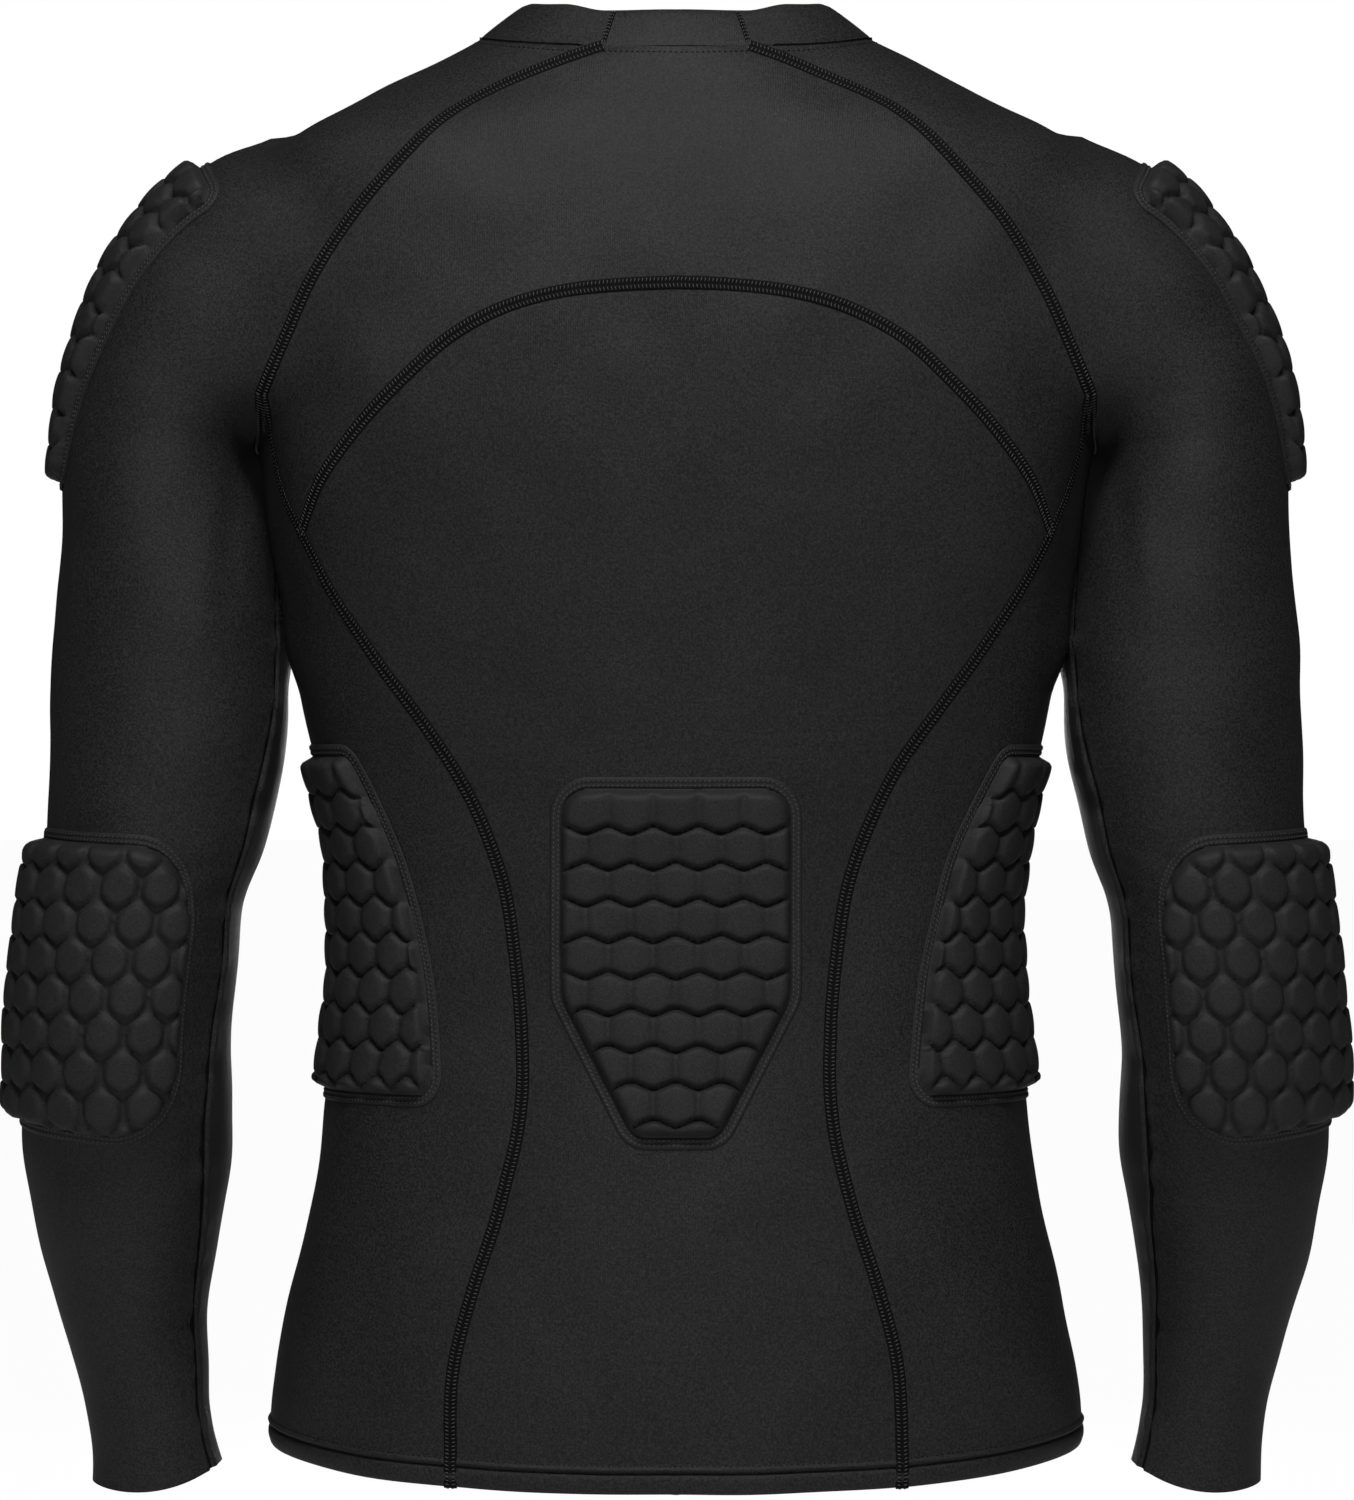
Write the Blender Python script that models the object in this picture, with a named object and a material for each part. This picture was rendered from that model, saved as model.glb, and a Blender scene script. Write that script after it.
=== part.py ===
"""Long-sleeved padded compression shirt, in the shape it has when it is worn.

The shirt is empty: each piece of cloth is a thin wall on one smooth general figure, and the quilted
pads lie on the cloth. The back faces +Y, the front faces -Y, +Z is up and the wearer's left is +X.
The origin is in the middle of the neck opening, level with the seams at the sides of the neck.
Sizes and tables are in millimetres, and MM turns them into metres when a mesh is made.
"""
import math

import bmesh
import bpy
import numpy as np
from mathutils import Matrix, Vector

MM = 0.001

# Cloth
WALL = 1.6
SEAM_GAP = 0.3
HEM_DEPTH = 14.0
HEM_STEP = 2.5
HEM_RAISE = 0.8
BAND_WALL = 2.2
BAND_HEIGHT = 18.5
BAND_BULGE = 0.7
BAND_LEAN = 10.0
BAND_SIDE_LEAN = 12.0
BAND_SIDE_DROP = 4.0

# Places on the figure
NECK_AXIS_Y = -8.0
YOKE_LOW_POINT = (0.0, -120.7)
SIDE_HEM_Z = -654.8
HEM_DIP = 10.6
UNDERARM_X = 193.0
UNDERARM_TOP_Z = -120.0
UNDERARM_LOW_Z = -198.0
FRONT_RAGLAN_X = 64.0
BACK_RAGLAN_X = 33.4
SHOULDER_SHARE = 0.88
ARM_CENTRE_SHARE = 0.5
SEAM_TURN = np.array((1.1, 0.0, 1.1))
CHEST_Z = -237.0
CUFF_Z = -673.5
CUFF_SLANT = 4.5
CUFF_RISE = 6.5

# Number of mesh steps along each seam
RAGLAN_STEPS = 9
SIDE_SEAM_STEPS = 3
LONG_SEAM_STEPS = 11
HEM_STEPS = 3
UNDERARM_STEPS = 5
SLEEVE_RINGS = 11
SLEEVE_COLUMNS = 16
BACK_COLUMNS = 8
FRONT_COLUMNS = 5
BAND_ROWS = 2

# Pads
CELL_PITCH = 20.2
CELL_ROW = 16.7
CELL_TOP = 0.78
CELL_MIN_AREA = 120.0
GROOVE = 2.3
PAD_EDGE = 3.4
FIRST_CELL_ROW = 0.42
WELD = 3.0
FLAT_PAD_GAP = 1.2
SHOULDER_PAD_GAP = 1.0
ROUND_PAD_GAP = 1.7
RIM_DROP = 1.2
CORNER_STEPS = 3
SIDE_CENTRE_INSET = 75.0
SHOULDER_RADIUS = 50.0

# Rays that find the surface of the figure
REACH = 264.0
MARCHES = 66
HALVINGS = 26


class Table:
    """Rows with named columns, read smoothly along the first column."""

    def __init__(self, names, rows):
        self.names = names.split()
        self.values = np.array(sorted(rows), float).T
        self.slopes = [np.gradient(column, self.values[0]) for column in self.values]

    def read(self, name, key):
        place = self.names.index(name)
        keys, column, slope = self.values[0], self.values[place], self.slopes[place]
        key = np.clip(key, keys[0], keys[-1])
        i = np.clip(np.searchsorted(keys, key) - 1, 0, len(keys) - 2)
        step = keys[i + 1] - keys[i]
        t = (key - keys[i]) / step
        rise = (2 * t**3 - 3 * t**2 + 1) * column[i] + (3 * t**2 - 2 * t**3) * column[i + 1]
        bend = (t**3 - 2 * t**2 + t) * slope[i] + (t**3 - t**2) * slope[i + 1]
        return rise + step * bend


# The body of the shirt by height: half width, depth to the back and the front, and squareness
TORSO = Table("z half_width back front square", [
    (30.0, 62.0, 46.0, 46.0, 2.0),
    (16.0, 74.0, 52.0, 53.0, 2.0),
    (3.0, 90.0, 57.0, 59.0, 2.0),
    (-9.0, 113.0, 62.0, 65.0, 2.05),
    (-26.0, 146.0, 69.0, 73.0, 2.1),
    (-40.0, 176.0, 76.0, 80.0, 2.2),
    (-52.0, 196.0, 80.5, 85.0, 2.3),
    (-70.0, 206.0, 86.0, 92.0, 2.4),
    (-100.0, 206.0, 92.5, 103.0, 2.5),
    (-130.0, 202.0, 96.5, 111.0, 2.65),
    (-165.0, 196.5, 98.0, 116.0, 2.9),
    (-190.0, 191.0, 97.5, 117.0, 3.0),
    (-214.0, 187.0, 95.5, 116.5, 3.0),
    (-237.0, 184.0, 93.0, 115.0, 2.9),
    (-261.0, 180.5, 90.0, 113.0, 2.8),
    (-308.0, 176.0, 83.5, 108.5, 2.6),
    (-331.0, 170.0, 80.5, 106.0, 2.5),
    (-355.0, 163.5, 78.0, 104.0, 2.4),
    (-380.0, 159.0, 76.0, 102.0, 2.35),
    (-425.0, 157.0, 76.5, 100.5, 2.3),
    (-460.0, 159.5, 80.0, 101.0, 2.3),
    (-496.0, 164.5, 86.0, 103.0, 2.3),
    (-543.0, 171.0, 94.5, 107.0, 2.35),
    (-590.0, 182.0, 100.5, 110.5, 2.4),
    (-620.0, 187.5, 102.5, 111.5, 2.4),
    (-645.0, 190.0, 102.5, 111.0, 2.4),
    (-670.0, 186.0, 100.5, 109.0, 2.4),
])

# The sleeve by height: its middle, and half its width and depth
ARM = Table("z middle_x middle_y half_width half_depth", [
    (-40.0, 190.0, 0.0, 1.0, 1.0),
    (-47.0, 193.0, 0.0, 12.0, 11.0),
    (-57.0, 197.0, 0.0, 23.0, 24.0),
    (-69.0, 201.0, 0.0, 34.5, 36.0),
    (-83.0, 206.0, 0.0, 41.5, 44.0),
    (-99.0, 212.0, 0.0, 46.5, 50.0),
    (-116.0, 218.0, 0.0, 50.0, 54.0),
    (-134.0, 224.0, 0.0, 51.2, 56.0),
    (-152.0, 230.0, 0.5, 51.0, 57.0),
    (-171.0, 236.0, 1.0, 48.8, 57.0),
    (-190.0, 241.3, 1.5, 45.4, 56.0),
    (-213.0, 240.3, 2.5, 47.3, 56.0),
    (-237.0, 238.5, 3.0, 50.0, 56.5),
    (-261.0, 237.3, 4.0, 52.3, 57.0),
    (-284.0, 237.4, 5.0, 54.4, 57.0),
    (-308.0, 237.1, 6.0, 55.5, 56.5),
    (-354.0, 240.4, 9.0, 53.2, 54.0),
    (-378.0, 244.2, 11.0, 50.6, 52.5),
    (-401.0, 249.4, 12.0, 47.9, 51.0),
    (-424.0, 252.4, 12.5, 47.7, 50.5),
    (-448.0, 254.8, 11.5, 48.2, 50.0),
    (-471.0, 256.8, 9.0, 48.5, 50.0),
    (-495.0, 257.0, 5.0, 49.2, 49.0),
    (-519.0, 257.5, 0.0, 48.5, 46.5),
    (-543.0, 257.9, -5.0, 45.0, 43.0),
    (-567.0, 258.2, -10.0, 41.0, 38.5),
    (-591.0, 257.0, -15.0, 36.5, 34.0),
    (-616.0, 254.2, -20.0, 32.3, 30.0),
    (-640.0, 251.3, -24.5, 29.5, 27.5),
    (-659.0, 248.7, -27.5, 29.7, 27.5),
    (-684.0, 245.5, -31.0, 32.5, 28.5),
])

# How widely the sleeve and the body melt into each other, by height
MELT = Table("z width", [
    (-40.0, 16.0),
    (-80.0, 38.0),
    (-140.0, 52.0),
    (-165.0, 46.0),
    (-178.0, 26.0),
    (-190.0, 10.0),
    (-200.0, 2.0),
])

# Height of the neck seam by its angle round the neck, from the middle of the back
NECKLINE = Table("angle z", [
    (0.0, -9.3),
    (30.0, -8.7),
    (55.0, -5.0),
    (75.0, 0.5),
    (92.0, 3.0),
    (110.0, -4.0),
    (130.0, -24.0),
    (150.0, -46.0),
    (168.0, -60.0),
    (180.0, -64.0),
])

# Seams as the eye meets them from behind or in front: distance from the middle, and height
BACK_RAGLAN = [(53.0, -15.5), (71.0, -23.0), (103.0, -40.0), (125.0, -61.5), (147.0, -87.0),
               (165.5, -116.0), (178.0, -142.0), (190.0, -168.0)]
FRONT_RAGLAN = [(85.0, -43.0), (108.0, -66.0), (131.0, -92.0), (151.0, -118.0), (170.0, -145.0),
                (190.0, -168.0)]
SIDE_SEAM = [(190.0, -168.0), (186.0, -189.5), (181.0, -210.0), (172.0, -231.0)]
YOKE_ARCH = [YOKE_LOW_POINT, (25.0, -121.6), (52.0, -124.8), (79.0, -132.3), (101.6, -144.4),
             (124.3, -164.4), (149.5, -191.0), (162.0, -208.7), (172.0, -231.0)]
LONG_SEAM = [(172.0, -231.0), (154.6, -263.0), (138.5, -286.7), (122.6, -308.4), (97.8, -344.6),
             (79.3, -389.0), (73.4, -423.0), (70.1, -460.0), (69.6, -485.0), (71.7, -503.7),
             (79.1, -535.2), (90.6, -571.9), (100.0, -608.9), (101.7, -646.1)]
SHOULDER_LINE = [(90.0, 3.0), (120.0, -12.5), (149.0, -26.0), (180.0, -39.0), (205.0, -50.0),
                 (236.0, -68.5), (258.0, -98.0), (274.0, -133.0), (284.0, -171.0), (287.6, -207.0)]

# Pad outlines, flat: distance across, distance down from the pad's top, and corner radius
BACK_PAD = [(51.5, 0.0, 12.0), (51.5, 94.0, 15.0), (19.0, 156.5, 9.0), (-19.0, 156.5, 9.0),
            (-51.5, 94.0, 15.0), (-51.5, 0.0, 12.0)]
ELBOW_PAD = [(70.0, 5.0, 26.0), (70.0, 139.0, 26.0), (-70.0, 127.0, 26.0), (-70.0, 0.0, 26.0)]
SIDE_PAD = [(56.0, 0.0, 5.0), (104.0, 154.0, 6.0), (-66.0, 154.0, 6.0), (-36.0, 0.0, 5.0)]
SHOULDER_PAD = [(57.0, 0.0, 8.0), (49.0, 60.0, 8.0), (40.0, 112.0, 8.0), (24.0, 165.0, 12.0),
                (-24.0, 165.0, 12.0), (-40.0, 112.0, 8.0), (-49.0, 60.0, 8.0), (-57.0, 0.0, 8.0)]
BACK_PAD_TOP = -349.0
ELBOW_PAD_TOP = -371.5
ELBOW_PAD_ANGLE = 56.0
SIDE_PAD_TOP = -334.0
SHOULDER_PAD_START = 147.0
BACK_PAD_THICK = 8.0
ELBOW_PAD_THICK = 10.5
SIDE_PAD_THICK = 7.5
SHOULDER_PAD_THICK = 7.5

# Colours
CLOTH_BLACK = (0.012, 0.012, 0.013, 1.0)
PAD_BLACK = (0.010, 0.010, 0.011, 1.0)


def oval_form(across, deep, half_width, half_depth, square):
    """Distance outside an oval section, negative inside it."""
    u = np.abs(across) / half_width + 1e-6
    v = np.abs(deep) / half_depth + 1e-6
    size = (u**square + v**square) ** (1 / square)
    steep_u = (u / size) ** (square - 1) / half_width
    steep_v = (v / size) ** (square - 1) / half_depth
    return (size - 1) / np.hypot(steep_u, steep_v)


def torso_form(points):
    x, y, z = points.T
    depth = np.where(y > 0, TORSO.read("back", z), TORSO.read("front", z))
    return oval_form(x, y, TORSO.read("half_width", z), depth, TORSO.read("square", z))


def arm_form(points):
    x, y, z = points.T
    across = np.abs(x) - ARM.read("middle_x", z)
    deep = y - ARM.read("middle_y", z)
    return oval_form(across, deep, ARM.read("half_width", z), ARM.read("half_depth", z), 2.0)


def whole_form(points):
    """Body and sleeves melted together, for the stretch above the underarm."""
    body, arm = torso_form(points), arm_form(points)
    width = MELT.read("width", points[:, 2])
    share = np.clip(0.5 + 0.5 * (arm - body) / width, 0, 1)
    return arm * (1 - share) + body * share - width * share * (1 - share)


def outward(form, points):
    """Unit vectors that point straight out of a form."""
    step = 0.4
    slopes = [form(points + step * axis) - form(points - step * axis) for axis in np.eye(3)]
    slopes = np.stack(slopes, axis=1)
    return slopes / np.linalg.norm(slopes, axis=1, keepdims=True)


def cast(form, start, direction, reach=REACH):
    """First place where rays that start inside a form leave it."""
    start, direction = np.broadcast_arrays(np.asarray(start, float), np.asarray(direction, float))
    near = np.zeros(len(start))
    far = np.full(len(start), float(reach))
    found = np.zeros(len(start), bool)
    for march in range(1, MARCHES + 1):
        distance = reach * march / MARCHES
        out = form(start + direction * distance) > 0
        first = out & ~found
        far[first] = distance
        near[first] = distance - reach / MARCHES
        found |= out
    for _ in range(HALVINGS):
        middle = (near + far) / 2
        inside = form(start + direction * middle[:, None]) < 0
        near = np.where(inside, middle, near)
        far = np.where(inside, far, middle)
    return start + direction * near[:, None]


def along(points, shares):
    """Places at shares of the length of a smooth line through the given points."""
    points = np.array(points, float)
    keys = np.r_[0, np.cumsum(np.linalg.norm(np.diff(points, axis=0), axis=1))]
    names = "key " + " ".join(f"c{i}" for i in range(points.shape[1]))
    table = Table(names, np.c_[keys, points].tolist())
    fine = np.linspace(0, keys[-1], 40 * len(points))
    dense = np.stack([table.read(f"c{i}", fine) for i in range(points.shape[1])], axis=1)
    reach = np.r_[0, np.cumsum(np.linalg.norm(np.diff(dense, axis=0), axis=1))]
    wanted = np.asarray(shares) * reach[-1]
    return np.stack([np.interp(wanted, reach, column) for column in dense.T], axis=1)


def even(points, steps):
    """A polyline's places at even steps of its length."""
    reach = np.r_[0, np.cumsum(np.linalg.norm(np.diff(points, axis=0), axis=1))]
    wanted = np.linspace(0, reach[-1], steps + 1)
    return np.stack([np.interp(wanted, reach, column) for column in points.T], axis=1)


def onto_back(flat, direction=(0, 1, 0)):
    """Lays places seen from behind, as (x, z), on the back of the figure."""
    flat = np.asarray(flat)
    start = np.c_[flat[:, 0], np.zeros(len(flat)), flat[:, 1]]
    return cast(whole_form, start, direction)


def onto_front(flat):
    return onto_back(flat, direction=(0, -1, 0))


def neck_seam(angles):
    """Places on the neck seam by their angle in degrees, from the middle of the back."""
    angles = np.asarray(angles, float)
    start = np.c_[0 * angles, 0 * angles + NECK_AXIS_Y, NECKLINE.read("z", angles)]
    turn = np.radians(angles)
    direction = np.c_[np.sin(turn), np.cos(turn), 0 * turn]
    return cast(whole_form, start, direction)


def neck_angle(distance, low, high):
    """Angle between low and high at which the neck seam is this far from the middle."""
    angles = np.linspace(low, high, 200)
    across = neck_seam(angles)[:, 0]
    order = np.argsort(across)
    return float(np.interp(distance, across[order], angles[order]))


def hem_height(points):
    """Height of the hem below a place: it dips at the middle of the back and the front."""
    y = points[:, 1]
    depth = np.where(y > 0, TORSO.read("back", SIDE_HEM_Z), TORSO.read("front", SIDE_HEM_Z))
    return SIDE_HEM_Z - HEM_DIP * (y / depth) ** 2


def steps_to_hem(top, bottom, steps):
    """Heights from top to bottom, with close steps at the sewn hem."""
    fold = bottom + HEM_DEPTH
    return np.r_[np.linspace(top, fold + HEM_STEP, steps + 1), fold, fold - HEM_DEPTH / 2, bottom]


class Seams:
    """Every seam on the wearer's left, as places that the pieces on both sides share."""

    def __init__(self):
        self.back_angle = neck_angle(BACK_RAGLAN_X, 5, 80)
        self.front_angle = neck_angle(FRONT_RAGLAN_X, 175, 95)
        self.neck_back = neck_seam(np.linspace(0, self.back_angle, BACK_COLUMNS + 1))
        self.neck_front = neck_seam(np.linspace(180, self.front_angle, FRONT_COLUMNS + 1))
        side_angles = np.linspace(self.back_angle, self.front_angle, 120)
        self.neck_side = even(neck_seam(side_angles), SLEEVE_COLUMNS)
        shares = np.linspace(0, 1, RAGLAN_STEPS + 1)
        back_start, front_start = self.neck_back[-1], self.neck_front[-1]
        back_rows = [(back_start[0], back_start[2])] + BACK_RAGLAN
        front_rows = [(front_start[0], front_start[2])] + FRONT_RAGLAN
        self.raglan_back = onto_back(along(back_rows, shares))
        self.raglan_front = onto_front(along(front_rows, shares))
        side_flat = along(SIDE_SEAM, np.linspace(0, 1, SIDE_SEAM_STEPS + 1))
        self.side_back = onto_back(side_flat)
        self.side_front = onto_front(side_flat)
        self.long_flat = self.long_rows()
        self.long_back = onto_back(self.long_flat)
        self.long_front = onto_front(self.long_flat)
        self.arch_flat = along(YOKE_ARCH, np.linspace(0, 1, BACK_COLUMNS + 1))
        self.underarm = self.underarm_rows()

    def long_rows(self):
        last = onto_back([LONG_SEAM[-1]])
        bottom = float(hem_height(last)[0])
        fold = bottom + HEM_DEPTH
        dense = along(LONG_SEAM + [(101.5, bottom)], np.linspace(0, 1, 400))
        heights = steps_to_hem(LONG_SEAM[0][1], bottom, LONG_SEAM_STEPS)
        upper = dense[dense[:, 1] >= fold + HEM_STEP]
        rows = even(upper, LONG_SEAM_STEPS)
        low = heights[LONG_SEAM_STEPS + 1:]
        across = np.interp(-low, -dense[:, 1], dense[:, 0])
        return np.r_[rows, np.c_[across, low]]

    def underarm_rows(self):
        """The armhole's lowest stretch, from the back round under the arm to the front."""
        back, front = self.side_back[0], self.side_front[0]
        share = np.linspace(0, 1, 41)[1:]
        halves = []
        for end in (back, front):
            y = end[1] * (1 - share)
            x = UNDERARM_X + (end[0] - UNDERARM_X) * (y / end[1]) ** 2
            start = np.c_[x, y, 0 * x + UNDERARM_TOP_Z]
            reach = UNDERARM_TOP_Z - UNDERARM_LOW_Z
            places = cast(whole_form, start, (0, 0, -1), reach)
            halves.append(even(np.r_[end[None], places], UNDERARM_STEPS))
        return np.r_[halves[0], halves[1][::-1][1:]]


def patch(top, bottom, start, end):
    """Grid between four edges: top and bottom run across, start and end run down."""
    down = np.linspace(0, 1, len(start))[:, None, None]
    over = np.linspace(0, 1, len(top))[None, :, None]
    rails = (1 - down) * top[None] + down * bottom[None]
    ribs = (1 - over) * start[:, None] + over * end[:, None]
    corners = ((1 - down) * (1 - over) * top[0] + (1 - down) * over * top[-1]
               + down * (1 - over) * bottom[0] + down * over * bottom[-1])
    return rails + ribs - corners


def both_halves(grid):
    """Completes a grid whose first column lies on the middle line."""
    mirrored = grid[:, :0:-1] * (-1, 1, 1)
    return np.concatenate([mirrored, grid], axis=1)


def lay(project, flat_grid):
    rows, columns, _ = flat_grid.shape
    return project(flat_grid.reshape(-1, 2)).reshape(rows, columns, 3)


def draw_in(grid, edges):
    """Moves the named edges of a grid in by half a seam gap."""
    grid = grid.copy()
    views = {"start": (grid[:, 0], grid[:, 1]), "end": (grid[:, -1], grid[:, -2]),
             "top": (grid[0], grid[1]), "bottom": (grid[-1], grid[-2])}
    for name in edges:
        edge, neighbour = views[name]
        run = np.gradient(edge, axis=0)
        run /= np.linalg.norm(run, axis=1, keepdims=True) + 1e-9
        inward = neighbour - edge
        inward -= run * np.sum(inward * run, axis=1, keepdims=True)
        inward /= np.linalg.norm(inward, axis=1, keepdims=True) + 1e-9
        edge += inward * SEAM_GAP / 2
    return grid


def hem_raise(rows, form_rows):
    raised = np.zeros(rows)
    raised[-HEM_STEPS:] = HEM_RAISE
    return raised[:, None, None] * form_rows


def walls(grid, form, has_hem=False):
    """Outer and inner places of a wall whose outer side is the grid."""
    rows, columns, _ = grid.shape
    normals = outward(form, grid.reshape(-1, 3)).reshape(rows, columns, 3)
    outer = grid + hem_raise(rows, normals) if has_hem else grid
    return outer, grid - normals * WALL


def yoke_walls(seams):
    outer_edge = np.r_[seams.raglan_back, seams.side_back[1:]][:, [0, 2]]
    top = seams.neck_back[:, [0, 2]]
    heights = np.linspace(top[0, 1], YOKE_LOW_POINT[1], len(outer_edge))
    middle = np.c_[0 * heights, heights]
    flat = patch(top, seams.arch_flat, middle, outer_edge)
    grid = both_halves(lay(onto_back, flat))
    grid = draw_in(grid, ("start", "end", "top", "bottom"))
    return walls(grid, whole_form)


def back_walls(seams):
    bottom_z = SIDE_HEM_Z - HEM_DIP
    heights = steps_to_hem(YOKE_LOW_POINT[1], bottom_z, LONG_SEAM_STEPS)
    middle = np.c_[0 * heights, heights]
    across = np.linspace(0, seams.long_flat[-1, 0], BACK_COLUMNS + 1)
    bottom = np.c_[across, hem_height(onto_back(np.c_[across, 0 * across + bottom_z]))]
    bottom[-1] = seams.long_flat[-1]
    bottom[0, 1] = bottom_z
    flat = patch(seams.arch_flat, bottom, middle, seams.long_flat)
    grid = both_halves(lay(onto_back, flat))
    grid = draw_in(grid, ("start", "end", "top"))
    return walls(grid, whole_form, has_hem=True)


def front_walls(seams):
    outer_edge = np.r_[seams.raglan_front[:, [0, 2]], seams.side_front[1:, [0, 2]],
                       seams.long_flat[1:]]
    top = seams.neck_front[:, [0, 2]]
    bottom_z = SIDE_HEM_Z - HEM_DIP
    chest_steps = RAGLAN_STEPS + SIDE_SEAM_STEPS
    heights = np.r_[np.linspace(top[0, 1], CHEST_Z, chest_steps + 1),
                    steps_to_hem(CHEST_Z, bottom_z, LONG_SEAM_STEPS)[1:]]
    middle = np.c_[0 * heights, heights]
    across = np.linspace(0, seams.long_flat[-1, 0], FRONT_COLUMNS + 1)
    bottom = np.c_[across, hem_height(onto_front(np.c_[across, 0 * across + bottom_z]))]
    bottom[-1] = seams.long_flat[-1]
    bottom[0, 1] = bottom_z
    flat = patch(top, bottom, middle, outer_edge)
    grid = both_halves(lay(onto_front, flat))
    grid = draw_in(grid, ("start", "end", "top"))
    return walls(grid, whole_form, has_hem=True)


def side_walls(seams):
    """The side panel, from the back seam round the side to the front seam."""
    back_edge = np.r_[seams.side_back, seams.long_back[1:]]
    front_edge = np.r_[seams.side_front, seams.long_front[1:]]
    columns = 2 * UNDERARM_STEPS

    def turned(points):
        return np.c_[np.arctan2(points[:, 1], points[:, 0]), points[:, 2]]

    turns = np.linspace(turned(back_edge)[-1, 0], turned(front_edge)[-1, 0], columns + 1)
    low = lay_round(np.c_[turns, 0 * turns + SIDE_HEM_Z])
    bottom = np.c_[turns, hem_height(low)]
    flat = patch(turned(seams.underarm), bottom, turned(back_edge), turned(front_edge))
    grid = lay(lay_round, flat)
    grid[0], grid[:, 0], grid[:, -1] = seams.underarm, back_edge, front_edge
    grid = draw_in(grid, ("start", "end", "top"))
    outer, inner = walls(grid, torso_form, has_hem=True)
    inner[0] = grid[0] - underarm_normals(torso_form, grid[0]) * WALL
    for edge in (0, -1):
        upper = grid[:, edge]
        normals = outward(whole_form, upper)
        inner[:, edge] = upper - normals * WALL
        outer[:, edge] = upper + hem_raise(len(upper), normals[:, None])[:, 0]
    return outer, inner


def underarm_normals(form, places):
    """Along the underarm seam the wall turns from the melted form to the piece's own."""
    own = outward(form, places)
    own[[0, -1]] = 0
    normals = outward(whole_form, places) + own
    return normals / np.linalg.norm(normals, axis=1, keepdims=True)


def lay_round(flat):
    """Lays places given as (turn, z) on the body of the shirt, out from its middle."""
    start = np.c_[0 * flat[:, 0], 0 * flat[:, 0], flat[:, 1]]
    direction = np.c_[np.cos(flat[:, 0]), np.sin(flat[:, 0]), 0 * flat[:, 0]]
    return cast(torso_form, start, direction)


def section(back, front, ridge, inset):
    """Places round the outside from back to front, in the plane that also meets the ridge."""
    middle = (back + front) / 2
    out = ridge - middle
    reach = np.linalg.norm(out)
    out /= reach
    side = back - front
    side -= out * np.dot(side, out)
    side /= np.linalg.norm(side)
    centre = middle + out * reach * inset
    turns = [math.atan2(np.dot(p - centre, side), np.dot(p - centre, out)) for p in (back, front)]
    turn = np.linspace(turns[0], turns[1], 81)[1:-1]
    direction = np.cos(turn)[:, None] * out + np.sin(turn)[:, None] * side
    places = cast(whole_form, np.tile(centre, (len(turn), 1)), direction)
    return even(np.r_[back[None], places, front[None]], SLEEVE_COLUMNS)


def sleeve_walls(seams):
    rows = [seams.neck_side]
    open_steps = RAGLAN_STEPS + UNDERARM_STEPS
    raglan_shares = SHOULDER_SHARE * np.linspace(0, 1, RAGLAN_STEPS + 1)
    under_shares = np.linspace(SHOULDER_SHARE, 1, UNDERARM_STEPS + 1)[1:]
    ridge_flat = along(SHOULDER_LINE, np.r_[raglan_shares, under_shares])
    under_back = seams.underarm[:UNDERARM_STEPS + 1]
    under_front = seams.underarm[::-1][:UNDERARM_STEPS + 1]
    backs = np.r_[seams.raglan_back, under_back[1:]]
    fronts = np.r_[seams.raglan_front, under_front[1:]]
    for i in range(1, open_steps):
        ridge = np.array([ridge_flat[i, 0], 0, ridge_flat[i, 1]])
        inset = ARM_CENTRE_SHARE if i > RAGLAN_STEPS else 0
        rows.append(section(backs[i], fronts[i], ridge, inset))
    turn = np.pi - 2 * np.pi * np.arange(SLEEVE_COLUMNS + 1) / SLEEVE_COLUMNS
    outer_z, inner_z = ridge_flat[-1, 1], backs[-1, 2]
    top_z = (outer_z + inner_z) / 2 + (outer_z - inner_z) / 2 * np.cos(turn)
    cuff_z = CUFF_Z - CUFF_SLANT * np.cos(turn) - CUFF_RISE * np.sin(turn) ** 2
    for k in range(SLEEVE_RINGS + 1):
        rows.append(sleeve_ring(turn, top_z + (cuff_z - top_z) * k / SLEEVE_RINGS))
    rows[open_steps][0] = rows[open_steps][-1] = backs[-1]
    grid = np.array(rows)
    grid = draw_in(grid, ("start", "end", "top"))
    grid[open_steps:, 0] = grid[open_steps:, -1] = np.array(rows)[open_steps:, 0]
    grid[open_steps, 0, 0] += SEAM_GAP
    grid[open_steps, -1, 0] += SEAM_GAP
    upper = walls(grid[:open_steps], whole_form)
    lower = walls(grid[open_steps:], arm_form)
    outer = np.concatenate([upper[0], lower[0]])
    inner = np.concatenate([upper[1], lower[1]])
    under = slice(RAGLAN_STEPS, open_steps + 1)
    for column in (0, -1):
        edge = grid[under, column]
        inner[under, column] = edge - underarm_normals(arm_form, edge) * WALL
    inner[open_steps, 0] = inner[open_steps, -1] = outer[open_steps, 0] + SEAM_TURN
    return outer, inner


def sleeve_ring(turn, z):
    x = ARM.read("middle_x", z) + ARM.read("half_width", z) * np.cos(turn)
    y = ARM.read("middle_y", z) + ARM.read("half_depth", z) * np.sin(turn)
    return np.stack([x, y, z], axis=1)


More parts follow.
